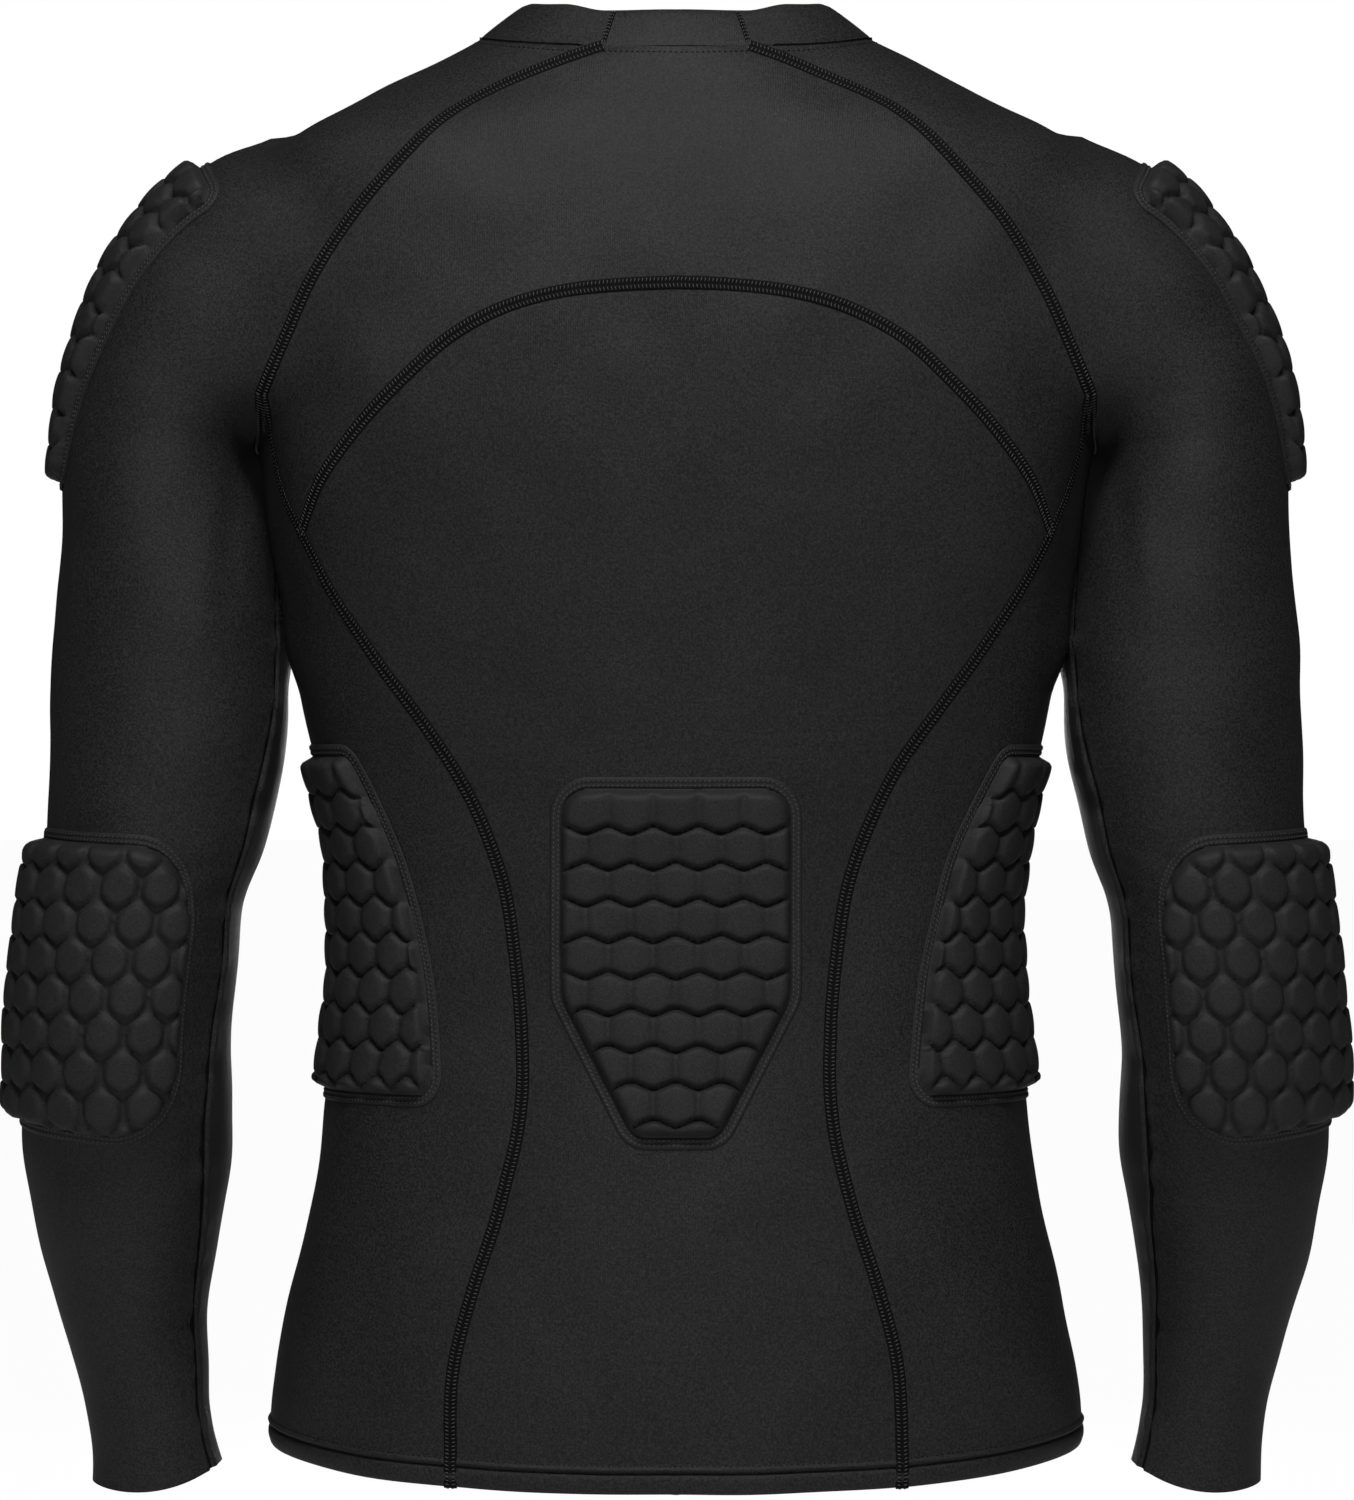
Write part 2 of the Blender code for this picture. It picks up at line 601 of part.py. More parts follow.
def band_walls(places, angles):
    """A stretch of neckband that stands on the neck seam and leans in."""
    run = np.gradient(places, axis=0)
    run /= np.linalg.norm(run, axis=1, keepdims=True)
    turn = np.radians(angles)
    plan_in = -np.c_[np.sin(turn), np.cos(turn), 0 * turn]
    lean = BAND_LEAN + BAND_SIDE_LEAN * np.sin(turn) ** 2
    height = BAND_HEIGHT - BAND_SIDE_DROP * np.sin(turn) ** 2
    rise = plan_in * lean[:, None] + np.c_[0 * turn, 0 * turn, height]
    length = np.linalg.norm(rise, axis=1, keepdims=True)
    rise /= length
    facing = np.cross(rise, run)
    facing /= np.linalg.norm(facing, axis=1, keepdims=True)
    share = np.linspace(0, 1, BAND_ROWS + 1)[:, None, None]
    clear = places + rise * SEAM_GAP
    face = clear + rise * (length - SEAM_GAP) * share
    outer = face + facing * BAND_BULGE * np.sin(np.pi * share)
    return outer, face - facing * BAND_WALL


def round_neck(seams):
    """Neck seam places from the back seam, round the front, to the back seam again."""
    left = np.r_[seams.neck_side, seams.neck_front[::-1][1:]]
    right = left[::-1][1:] * (-1, 1, 1)
    return np.r_[left, right]


def plan_angles(places):
    return np.degrees(np.arctan2(places[:, 0], places[:, 1] - NECK_AXIS_Y))


def make_material(name, colour, roughness):
    material = bpy.data.materials.new(name)
    material.use_nodes = True
    shader = material.node_tree.nodes["Principled BSDF"]
    shader.inputs["Base Color"].default_value = colour
    shader.inputs["Roughness"].default_value = roughness
    shader.inputs["Metallic"].default_value = 0.0
    return material


def add_object(name, bm, collection, colour, roughness):
    """Turns a bmesh in millimetres into an object in metres."""
    bmesh.ops.scale(bm, vec=(MM, MM, MM), verts=bm.verts)
    bmesh.ops.recalc_face_normals(bm, faces=bm.faces)
    bmesh.ops.triangulate(bm, faces=bm.faces, quad_method="SHORT_EDGE")
    mesh = bpy.data.meshes.new(name)
    bm.to_mesh(mesh)
    bm.free()
    mesh.shade_smooth()
    mesh.set_sharp_from_angle(angle=math.radians(40))
    thing = bpy.data.objects.new(name, mesh)
    thing.data.materials.append(make_material(name + "_finish", colour, roughness))
    collection.objects.link(thing)
    return thing


def sheet_mesh(outer, inner, mirrored=False):
    """A closed wall between two grids of places; edges that meet are joined first."""
    rows, columns = outer.shape[0] - 1, outer.shape[1] - 1
    bm = bmesh.new()
    bmesh.ops.create_grid(bm, x_segments=columns, y_segments=rows, size=0.5)
    index = bm.verts.layers.int.new("place")
    flip = np.array((-1, 1, 1)) if mirrored else np.ones(3)
    outer_places = outer.reshape(-1, 3) * flip
    inner_places = inner.reshape(-1, 3) * flip
    for vert in bm.verts:
        column = round((vert.co.x + 0.5) * columns)
        row = round((vert.co.y + 0.5) * rows)
        vert[index] = row * (columns + 1) + column
        vert.co = outer_places[vert[index]]
    bmesh.ops.remove_doubles(bm, verts=bm.verts, dist=0.01)
    grown = bmesh.ops.extrude_face_region(bm, geom=bm.faces[:], use_keep_orig=True)
    for item in grown["geom"]:
        if isinstance(item, bmesh.types.BMVert):
            item.co = inner_places[item[index]]
    return bm


def rounded_outline(corners):
    """Outline places, with an arc at each corner of a convex outline."""
    outline = []
    count = len(corners)
    for i, (s, t, radius) in enumerate(corners):
        here = Vector((s, t))
        before = (Vector(corners[i - 1][:2]) - here).normalized()
        after = (Vector(corners[(i + 1) % count][:2]) - here).normalized()
        half = before.angle(after) / 2
        first = here + before * radius / math.tan(half)
        last = here + after * radius / math.tan(half)
        centre = here + (before + after).normalized() * radius / math.sin(half)
        for k in range(CORNER_STEPS):
            place = first.lerp(last, k / (CORNER_STEPS - 1))
            outline.append(centre + (place - centre).normalized() * radius)
    return outline


def cell_sheet(outline):
    """A flat honeycomb, cut to an outline. Its rows run across and its cells have a corner on top."""
    bm = bmesh.new()
    radius = CELL_PITCH / math.sqrt(3)
    stretch = CELL_ROW / (1.5 * radius)
    wide = [place.x for place in outline]
    deep = [place.y for place in outline]
    middle = (min(wide) + max(wide)) / 2
    half_count = math.ceil((max(wide) - min(wide)) / CELL_PITCH / 2) + 1
    row_count = math.ceil((max(deep) - min(deep)) / CELL_ROW) + 1
    for row in range(row_count):
        for column in range(-half_count, half_count + 1):
            across = middle + (column + 0.5 * (row % 2)) * CELL_PITCH
            down = (min(deep) + (row + FIRST_CELL_ROW) * CELL_ROW) / stretch
            spot = Matrix.Translation((across, down, 0))
            bmesh.ops.create_circle(bm, cap_ends=True, segments=6, radius=radius, matrix=spot)
    bmesh.ops.remove_doubles(bm, verts=bm.verts, dist=0.5)
    bmesh.ops.scale(bm, vec=(1, stretch, 1), verts=bm.verts)
    centre = sum(outline, Vector((0, 0))) / len(outline)
    for i, here in enumerate(outline):
        edge = here - outline[i - 1]
        if edge.length < 0.5:
            continue
        across = Vector((edge.y, -edge.x)).normalized()
        if across.dot(here - centre) < 0:
            across = -across
        bmesh.ops.bisect_plane(bm, geom=bm.verts[:] + bm.edges[:] + bm.faces[:], dist=0.001,
                               plane_co=(here.x, here.y, 0), plane_no=(across.x, across.y, 0),
                               clear_outer=True)
    bmesh.ops.remove_doubles(bm, verts=bm.verts, dist=WELD)
    return bm


def pad_mesh(corners, thick, chart, gap, mirrored=False):
    """A quilted pad: raised cells over a plain underside, laid out by a chart of its panel."""
    bm = cell_sheet(rounded_outline(corners))
    rim = bm.verts.layers.int.new("rim")
    for vert in bm.verts:
        vert[rim] = int(vert.is_boundary)
        vert.co.z = gap
    grown = bmesh.ops.extrude_face_region(bm, geom=bm.faces[:], use_keep_orig=True)
    groove = thick - GROOVE
    for item in grown["geom"]:
        if isinstance(item, bmesh.types.BMVert):
            item.co.z = PAD_EDGE if item[rim] else groove
    cells = [item for item in grown["geom"] if isinstance(item, bmesh.types.BMFace)]
    cells = [cell for cell in cells if cell.calc_area() > CELL_MIN_AREA]
    raised = bmesh.ops.extrude_discrete_faces(bm, faces=cells)["faces"]
    for cell in raised:
        middle = cell.calc_center_median()
        for vert in cell.verts:
            vert.co = middle + (vert.co - middle) * CELL_TOP
            vert.co.z = thick - RIM_DROP * vert[rim]
    places = np.array([vert.co for vert in bm.verts])
    base, normals = chart(places[:, 0], places[:, 1])
    laid = base + normals * places[:, 2:]
    if mirrored:
        laid = laid * (-1, 1, 1)
    for vert, place in zip(bm.verts, laid):
        vert.co = place
    return bm


def back_chart(across, down):
    base = onto_back(np.c_[across, BACK_PAD_TOP - down])
    return base, outward(torso_form, base)


def side_chart(across, down):
    z = SIDE_PAD_TOP - down
    turn = across / (SIDE_CENTRE_INSET + SIDE_PAD_THICK)
    start = np.c_[TORSO.read("half_width", z) - SIDE_CENTRE_INSET, 0 * z, z]
    base = cast(torso_form, start, np.c_[np.cos(turn), np.sin(turn), 0 * turn])
    return base, outward(torso_form, base)


def elbow_chart(across, down):
    z = ELBOW_PAD_TOP - down
    radius = np.sqrt((ARM.read("half_width", z) ** 2 + ARM.read("half_depth", z) ** 2) / 2)
    turn = math.radians(ELBOW_PAD_ANGLE) + across / (radius + ELBOW_PAD_THICK)
    base = sleeve_ring(turn, z)
    return base, outward(arm_form, base)


def shoulder_chart(across, down):
    line = along(SHOULDER_LINE, np.linspace(0, 1, 200))
    reach = np.r_[0, np.cumsum(np.linalg.norm(np.diff(line, axis=0), axis=1))]
    run = np.gradient(line, axis=0)
    run /= np.linalg.norm(run, axis=1, keepdims=True)
    place = SHOULDER_PAD_START + down
    x, z = np.interp(place, reach, line[:, 0]), np.interp(place, reach, line[:, 1])
    run_x, run_z = np.interp(place, reach, run[:, 0]), np.interp(place, reach, run[:, 1])
    out = np.c_[-run_z, 0 * run_x, run_x]
    start = np.c_[x, 0 * x, z] - out * SHOULDER_RADIUS
    turn = across / (SHOULDER_RADIUS + SHOULDER_PAD_THICK)
    side = np.array([0, 1, 0])
    direction = np.cos(turn)[:, None] * out + np.sin(turn)[:, None] * side
    base = cast(whole_form, start, direction)
    return base, outward(whole_form, base)


def build_cloth(seams, collection):
    pieces = {
        "back_yoke": yoke_walls(seams),
        "back_panel": back_walls(seams),
        "front_panel": front_walls(seams),
    }
    for name, (outer, inner) in pieces.items():
        add_object(name, sheet_mesh(outer, inner), collection, CLOTH_BLACK, 0.6)
    for name, (outer, inner) in {"side_panel": side_walls(seams),
                                 "sleeve": sleeve_walls(seams)}.items():
        for side in ("left", "right"):
            mesh = sheet_mesh(outer, inner, mirrored=side == "right")
            add_object(f"{name}_{side}", mesh, collection, CLOTH_BLACK, 0.6)


def build_neckband(seams, collection):
    back = np.r_[seams.neck_back[::-1] * (-1, 1, 1), seams.neck_back[1:]]
    for name, places in {"neckband_back": back, "neckband_round": round_neck(seams)}.items():
        angles = np.unwrap(np.radians(plan_angles(places)))
        outer, inner = band_walls(places, np.degrees(angles))
        outer = draw_in(outer, ("start", "end"))
        inner = draw_in(inner, ("start", "end"))
        add_object(name, sheet_mesh(outer, inner), collection, CLOTH_BLACK, 0.65)


def build_pads(collection):
    back = pad_mesh(BACK_PAD, BACK_PAD_THICK, back_chart, FLAT_PAD_GAP)
    add_object("back_pad", back, collection, PAD_BLACK, 0.7)
    paired = {
        "shoulder_pad": (SHOULDER_PAD, SHOULDER_PAD_THICK, shoulder_chart, SHOULDER_PAD_GAP),
        "elbow_pad": (ELBOW_PAD, ELBOW_PAD_THICK, elbow_chart, ROUND_PAD_GAP),
        "side_pad": (SIDE_PAD, SIDE_PAD_THICK, side_chart, ROUND_PAD_GAP),
    }
    for name, (corners, thick, chart, gap) in paired.items():
        for side in ("left", "right"):
            mesh = pad_mesh(corners, thick, chart, gap, mirrored=side == "right")
            add_object(f"{name}_{side}", mesh, collection, PAD_BLACK, 0.7)


def main():
    for thing in list(bpy.data.objects):
        bpy.data.objects.remove(thing, do_unlink=True)
    collection = bpy.data.collections.new("padded_compression_shirt")
    bpy.context.scene.collection.children.link(collection)
    seams = Seams()
    build_cloth(seams, collection)
    build_neckband(seams, collection)
    build_pads(collection)


main()
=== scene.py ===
# Looks of the long-sleeved padded compression shirt: fine cloth shells on the form of its solids,
# quilted foam pads with stitched flanges, flat seams with their threads, and the knit's finish.
# Sizes and tables are in millimetres, and MM turns them into metres when a mesh is made.
# The back faces +Y, +Z is up and the wearer's left is +X.
import math

import bmesh
import bpy
import numpy as np
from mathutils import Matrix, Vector


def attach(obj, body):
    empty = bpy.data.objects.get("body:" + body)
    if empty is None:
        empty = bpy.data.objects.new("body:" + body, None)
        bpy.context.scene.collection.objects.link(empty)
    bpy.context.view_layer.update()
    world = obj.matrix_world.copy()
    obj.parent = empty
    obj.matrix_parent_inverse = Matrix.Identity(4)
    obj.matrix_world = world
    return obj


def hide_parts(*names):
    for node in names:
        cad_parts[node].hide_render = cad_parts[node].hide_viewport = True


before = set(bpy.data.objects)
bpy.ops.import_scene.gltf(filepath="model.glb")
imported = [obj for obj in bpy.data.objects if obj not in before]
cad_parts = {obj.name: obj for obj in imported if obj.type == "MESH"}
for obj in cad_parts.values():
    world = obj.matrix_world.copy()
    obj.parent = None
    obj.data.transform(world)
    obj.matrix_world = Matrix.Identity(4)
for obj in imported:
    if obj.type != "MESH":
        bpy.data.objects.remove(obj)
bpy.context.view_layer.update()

MM = 0.001
MIRROR = (-1, 1, 1)

# Cloth
CLOTH_THICK = 1.1
BAND_THICK = 1.8
BAND_HEIGHT = 18.5
BAND_BULGE = 0.7
BAND_LEAN = 10.0
BAND_SIDE_LEAN = 12.0
BAND_SIDE_DROP = 4.0
BAND_SHOULDER_RISE = 3.0
STRETCH_ROUND = 1.12
STRETCH_ALONG = 1.04
LEAN_SHARE = 1.1

# Places on the figure
NECK_AXIS_Y = -8.0
YOKE_LOW_POINT = (0.0, -120.7)
SIDE_HEM_Z = -654.8
HEM_DIP = 10.6
MIDDLE_HEM_Z = SIDE_HEM_Z - HEM_DIP
UNDERARM_X = 193.0
UNDERARM_TOP_Z = -120.0
UNDERARM_LOW_Z = -198.0
FRONT_RAGLAN_X = 64.0
BACK_RAGLAN_X = 33.4
SHOULDER_SHARE = 0.88
ARM_CENTRE_SHARE = 0.5
CHEST_Z = -237.0
CUFF_Z = -673.5
CUFF_SLANT = 4.5
CUFF_RISE = 6.5

# Number of mesh steps along each seam
RAGLAN_STEPS = 54
SIDE_SEAM_STEPS = 16
LONG_SEAM_STEPS = 96
UNDERARM_STEPS = 26
SLEEVE_RINGS = 176
SLEEVE_STEPS = 62
BACK_STEPS = 40
FRONT_STEPS = 36
BAND_ROWS = 10

# Heights above the edge of the hem at which the sewn hem gets a row of mesh
HEM_ROWS = (15.6, 14.8, 14.2, 13.6, 13.0, 12.4, 11.6, 10.8, 10.1, 9.5, 8.9, 8.1, 6.9, 5.4, 3.9,
            2.6, 1.5, 0.7, 0.2, 0.0)
HEM_RAISE = 0.9
HEM_STITCH = 13.2
HEM_CREASE = 9.5

# Pads
CELL_PITCH = 20.2
CELL_ROUND = 0.52
CELL_ROW = 16.7
FLANGE_WIDE = 5.8
FLANGE_THICK = 0.4
CORNER_STEPS = 9
SIDE_CENTRE_INSET = 75.0
SHOULDER_RADIUS = 50.0
PAD_CLEAR = 0.25

# Relief of the sewn hem: its lines as height, height above the edge and half width, then the depth
# and reach of its rolled edge
HEM_LINES = ((-0.8, HEM_STITCH, 0.8), (-1.5, HEM_CREASE, 0.9), (0.45, 11.4, 1.1), (0.55, 5.2, 3.2))
HEM_ROLL = (1.1, 0.7)

# Relief along the sleeve's long seam: height and half width of the groove, then height, distance
# from the seam and half width of the ridge beside it, and how far the puckers reach
INSEAM_GROOVE = (-1.9, 1.5)
INSEAM_RIDGE = (0.55, 3.3, 1.9)
PUCKER_REACH = 5.5

# Distances of the close steps beside the sleeve's long seam, and the girth they are shares of
CLOSE_STEPS = (0, 0.7, 1.4, 2.2, 3.1, 4.4, 6.2)
SLEEVE_GIRTH = 320.0

# Rays that find the surface of the figure
REACH = 264.0
MARCHES = 66
HALVINGS = 20


class Table:
    """Rows with named columns, read smoothly along the first column."""

    def __init__(self, names, rows):
        self.names = names.split()
        self.values = np.array(sorted(rows), float).T
        self.slopes = [np.gradient(column, self.values[0]) for column in self.values]

    def read(self, name, key):
        place = self.names.index(name)
        keys, column, slope = self.values[0], self.values[place], self.slopes[place]
        key = np.clip(key, keys[0], keys[-1])
        i = np.clip(np.searchsorted(keys, key) - 1, 0, len(keys) - 2)
        step = keys[i + 1] - keys[i]
        t = (key - keys[i]) / step
        rise = (2 * t**3 - 3 * t**2 + 1) * column[i] + (3 * t**2 - 2 * t**3) * column[i + 1]
        bend = (t**3 - 2 * t**2 + t) * slope[i] + (t**3 - t**2) * slope[i + 1]
        return rise + step * bend


# The body of the shirt by height: half width, depth to the back and the front, and squareness
TORSO = Table("z half_width back front square", [
    (30, 62, 46, 46, 2),
    (16, 74, 52, 53, 2),
    (3, 90, 57, 59, 2),
    (-9, 113, 62, 65, 2.05),
    (-26, 146, 69, 73, 2.1),
    (-40, 176, 76, 80, 2.2),
    (-52, 196, 80.5, 85, 2.3),
    (-70, 206, 86, 92, 2.4),
    (-100, 206, 92.5, 103, 2.5),
    (-130, 202, 96.5, 111, 2.65),
    (-165, 196.5, 98, 116, 2.9),
    (-190, 191, 97.5, 117, 3),
    (-214, 187, 95.5, 116.5, 3),
    (-237, 184, 93, 115, 2.9),
    (-261, 180.5, 90, 113, 2.8),
    (-308, 176, 83.5, 108.5, 2.6),
    (-331, 170, 80.5, 106, 2.5),
    (-355, 163.5, 78, 104, 2.4),
    (-380, 159, 76, 102, 2.35),
    (-425, 157, 76.5, 100.5, 2.3),
    (-460, 159.5, 80, 101, 2.3),
    (-496, 164.5, 86, 103, 2.3),
    (-543, 171, 94.5, 107, 2.35),
    (-590, 182, 100.5, 110.5, 2.4),
    (-620, 187.5, 102.5, 111.5, 2.4),
    (-645, 190, 102.5, 111, 2.4),
    (-670, 186, 100.5, 109, 2.4),
])

# The sleeve by height: its middle, and half its width and depth
ARM = Table("z middle_x middle_y half_width half_depth", [
    (-40, 190, 0, 1, 1),
    (-47, 193, 0, 12, 11),
    (-57, 197, 0, 23, 24),
    (-69, 201, 0, 34.5, 36),
    (-83, 206, 0, 41.5, 44),
    (-99, 212, 0, 46.5, 50),
    (-116, 218, 0, 50, 54),
    (-134, 224, 0, 51.2, 56),
    (-152, 230, 0.5, 51, 57),
    (-171, 236, 1, 48.8, 57),
    (-190, 241.3, 1.5, 45.4, 56),
    (-213, 240.3, 2.5, 47.3, 56),
    (-237, 238.5, 3, 50, 56.5),
    (-261, 237.3, 4, 52.3, 57),
    (-284, 237.4, 5, 54.4, 57),
    (-308, 237.1, 6, 55.5, 56.5),
    (-354, 240.4, 9, 53.2, 54),
    (-378, 244.2, 11, 50.6, 52.5),
    (-401, 249.4, 12, 47.9, 51),
    (-424, 252.4, 12.5, 47.7, 50.5),
    (-448, 254.8, 11.5, 48.2, 50),
    (-471, 256.8, 9, 48.5, 50),
    (-495, 257, 5, 49.2, 49),
    (-519, 257.5, 0, 48.5, 46.5),
    (-543, 257.9, -5, 45, 43),
    (-567, 258.2, -10, 41, 38.5),
    (-591, 257, -15, 36.5, 34),
    (-616, 254.2, -20, 32.3, 30),
    (-640, 251.3, -24.5, 29.5, 27.5),
    (-659, 248.7, -27.5, 29.7, 27.5),
    (-684, 245.5, -31, 32.5, 28.5),
])

# How widely the sleeve and the body melt into each other, by height
MELT = Table("z width", [
    (-40, 16),
    (-80, 38),
    (-140, 52),
    (-165, 46),
    (-178, 26),
    (-190, 10),
    (-200, 2),
])

# Height of the neck seam by its angle round the neck, from the middle of the back
NECKLINE = Table("angle z", [
    (0, -9.3),
    (30, -8.7),
    (55, -5),
    (75, 0.5),
    (92, 3),
    (110, -4),
    (130, -24),
    (150, -46),
    (168, -60),
    (180, -64),
])

# Where the sleeve's long seam runs, by height: its angle round the sleeve in degrees
INSEAM = Table("z angle", [
    (-681, 152),
    (-560, 148),
    (-520, 143),
    (-440, 154),
    (-350, 150),
    (-270, 166),
    (-198, 180),
    (-160, 180),
])

# Seams as the eye meets them from behind or in front: distance from the middle, and height
BACK_RAGLAN = [(53, -15.5), (71, -23), (103, -40), (125, -61.5), (147, -87),
               (165.5, -116), (178, -142), (190, -168)]
FRONT_RAGLAN = [(85, -43), (108, -66), (131, -92), (151, -118), (170, -145),
                (190, -168)]
SIDE_SEAM = [(190, -168), (186, -189.5), (181, -210), (172, -231)]
YOKE_ARCH = [YOKE_LOW_POINT, (25, -121.6), (52, -124.8), (79, -132.3), (101.6, -144.4),
             (124.3, -164.4), (149.5, -191), (162, -208.7), (172, -231)]
LONG_SEAM = [(172, -231), (154.6, -263), (138.5, -286.7), (122.6, -308.4), (97.8, -344.6),
             (79.3, -389), (73.4, -423), (70.1, -460), (69.6, -485), (71.7, -503.7),
             (79.1, -535.2), (90.6, -571.9), (100, -608.9), (101.7, -646.1)]
SHOULDER_LINE = [(90, 3), (120, -12.5), (149, -26), (180, -39), (205, -50),
                 (236, -68.5), (258, -98), (274, -133), (284, -171), (287.6, -207)]

# Soft creases in the cloth, as the eye meets them: both ends, the side they lie on (1 back, -1
# front), half their width, and their depth, below 0 for a trough
CREASES = [
    (203, -196, 206, -262, 1, 5, -1.6),
    (-203, -190, -207, -254, 1, 5.5, -1.4),
    (212, -210, 217, -285, 1, 6, 0.7),
    (-213, -206, -216, -272, 1, 6, 0.8),
    (206, -380, 236, -392, 1, 4, -0.9),
    (204, -404, 229, -398, 1, 3.5, -0.7),
    (-205, -371, -238, -388, 1, 4, -0.8),
    (-207, -409, -232, -405, 1, 4, -0.8),
    (214, -528, 240, -521, 1, 3.5, -0.6),
    (-216, -540, -246, -531, 1, 4, -0.7),
    (222, -601, 243, -596, 1, 3, -0.5),
    (-221, -588, -240, -584, 1, 3.2, -0.6),
    (168, -262, 130, -330, 1, 9, -0.7),
    (-166, -268, -126, -338, 1, 9, -0.6),
    (150, -540, 176, -604, 1, 8, -0.7),
    (-146, -548, -170, -616, 1, 8, -0.6),
    (176, -178, 150, -232, -1, 8, -1.1),
    (-177, -184, -148, -240, -1, 8, -1),
    (120, -96, 168, -140, -1, 9, -0.8),
    (-124, -90, -166, -136, -1, 9, -0.9),
    (-60, -430, 48, -441, -1, 8, -0.7),
    (-30, -462, 74, -470, -1, 7, -0.6),
    (208, -392, 262, -402, -1, 4.5, -1.1),
    (212, -412, 268, -410, -1, 4, -0.9),
    (-210, -386, -266, -400, -1, 4.5, -1.2),
    (-211, -410, -262, -416, -1, 4, -0.8),
    (236, -560, 270, -548, -1, 4.5, -0.6),
    (-232, -566, -268, -556, -1, 4.5, -0.6),
]

# Broad, slow unevenness of the cloth: its depth and its length across and down
SWELL = ((0.55, 83, 127, 0.7), (0.4, 57, 71, 2.1), (0.3, 131, 49, 4))

# How the sleeve and the body swell towards each other below the underarm: how far, and how far to
# the back of the middle. Then the reach across and to the back or front, and the heights
SLEEVE_SWELL = (5.2, -14)
BODY_SWELL = (4.6, 18)
SWELL_REACH = (7, 17)
SWELL_TOP = (-191, -183)
SWELL_BOTTOM = (-308, -282)

# Shallow dents on both hands: distance from the middle, height, radius and depth
DENTS = ((194, -42, 19, -3.2),)

# Pad outlines, flat: distance across, distance down from the pad's top, and corner radius
BACK_PAD = [(51.5, 0, 12), (51.5, 94, 15), (19, 156.5, 9), (-19, 156.5, 9),
            (-51.5, 94, 15), (-51.5, 0, 12)]
ELBOW_PAD = [(70, 5, 38), (70, 139, 36), (-70, 127, 26), (-70, 0, 26)]
SIDE_PAD = [(56, 0, 5), (104, 154, 6), (-66, 154, 6), (-36, 0, 5)]
SHOULDER_PAD = [(57, 0, 8), (49, 60, 8), (40, 112, 8), (24, 165, 12),
                (-24, 165, 12), (-40, 112, 8), (-49, 60, 8), (-57, 0, 8)]
BACK_PAD_TOP = -349
ELBOW_PAD_TOP = -371.5
ELBOW_PAD_ANGLE = 56
SIDE_PAD_TOP = -334
SHOULDER_PAD_START = 147

# Quilting of each pad: foam thickness, rounding at the edge, depth and half width of the grooves
# between rows and inside a row, how much each cell swells, and the swing of the wavy grooves
# between rows, which is None where the cells are six-sided. Then the share of a row above the
# first row's middle, and the mesh step
QUILTING = {
    "back": dict(thick=8.2, edge=4, row_groove=4.2, row_half=1.15, cell_groove=0.8,
                 cell_half=1.8, swell=0.9, wave=1.4, first=0.55, step=1),
    "elbow": dict(thick=10.8, edge=6.5, row_groove=2.9, row_half=1.35, cell_groove=2.9,
                  cell_half=1.35, swell=0.45, wave=None, first=0.24, step=1.3),
    "side": dict(thick=8, edge=3.2, row_groove=4, row_half=1.3, cell_groove=1.5,
                 cell_half=1.7, swell=1.2, wave=2.4, first=0.42, step=1.3),
    "shoulder": dict(thick=8.2, edge=3.8, row_groove=3.8, row_half=1.5, cell_groove=1.6,
                     cell_half=1.7, swell=1, wave=2.8, first=0.42, step=1.35),
}


def oval_form(across, deep, half_width, half_depth, square):
    """Distance outside an oval section, negative inside it."""
    u = np.abs(across) / half_width + 1e-6
    v = np.abs(deep) / half_depth + 1e-6
    size = (u**square + v**square) ** (1 / square)
    steep_u = (u / size) ** (square - 1) / half_width
    steep_v = (v / size) ** (square - 1) / half_depth
    return (size - 1) / np.hypot(steep_u, steep_v)


def torso_form(points):
    x, y, z = points.T
    depth = np.where(y > 0, TORSO.read("back", z), TORSO.read("front", z))
    return oval_form(x, y, TORSO.read("half_width", z), depth, TORSO.read("square", z))


def arm_form(points):
    x, y, z = points.T
    across = np.abs(x) - ARM.read("middle_x", z)
    deep = y - ARM.read("middle_y", z)
    return oval_form(across, deep, ARM.read("half_width", z), ARM.read("half_depth", z), 2.0)


def whole_form(points):
    """Body and sleeves melted together, for the stretch above the underarm."""
    body, arm = torso_form(points), arm_form(points)
    width = MELT.read("width", points[:, 2])
    share = np.clip(0.5 + 0.5 * (arm - body) / width, 0, 1)
    return arm * (1 - share) + body * share - width * share * (1 - share)


def unit(vectors):
    return vectors / np.linalg.norm(vectors, axis=1, keepdims=True)


def outward(form, points):
    """Unit vectors that point straight out of a form."""
    step = 0.4
    slopes = [form(points + step * axis) - form(points - step * axis) for axis in np.eye(3)]
    return unit(np.stack(slopes, axis=1))


def cast(form, start, direction, reach=REACH):
    """First place where rays that start inside a form leave it."""
    start, direction = np.broadcast_arrays(np.asarray(start, float), np.asarray(direction, float))
    near = np.zeros(len(start))
    far = np.full(len(start), float(reach))
    waiting = np.arange(len(start))
    for march in range(1, MARCHES + 1):
        distance = reach * march / MARCHES
        out = form(start[waiting] + direction[waiting] * distance) > 0
        far[waiting[out]] = distance
        near[waiting[out]] = distance - reach / MARCHES
        waiting = waiting[~out]
        if not len(waiting):
            break
    for _ in range(HALVINGS):
        middle = (near + far) / 2
        inside = form(start + direction * middle[:, None]) < 0
        near = np.where(inside, middle, near)
        far = np.where(inside, far, middle)
    return start + direction * near[:, None]


def lengths(points):
    """Distance along a polyline to each of its points."""
    return np.r_[0, np.cumsum(np.linalg.norm(np.diff(points, axis=0), axis=1))]


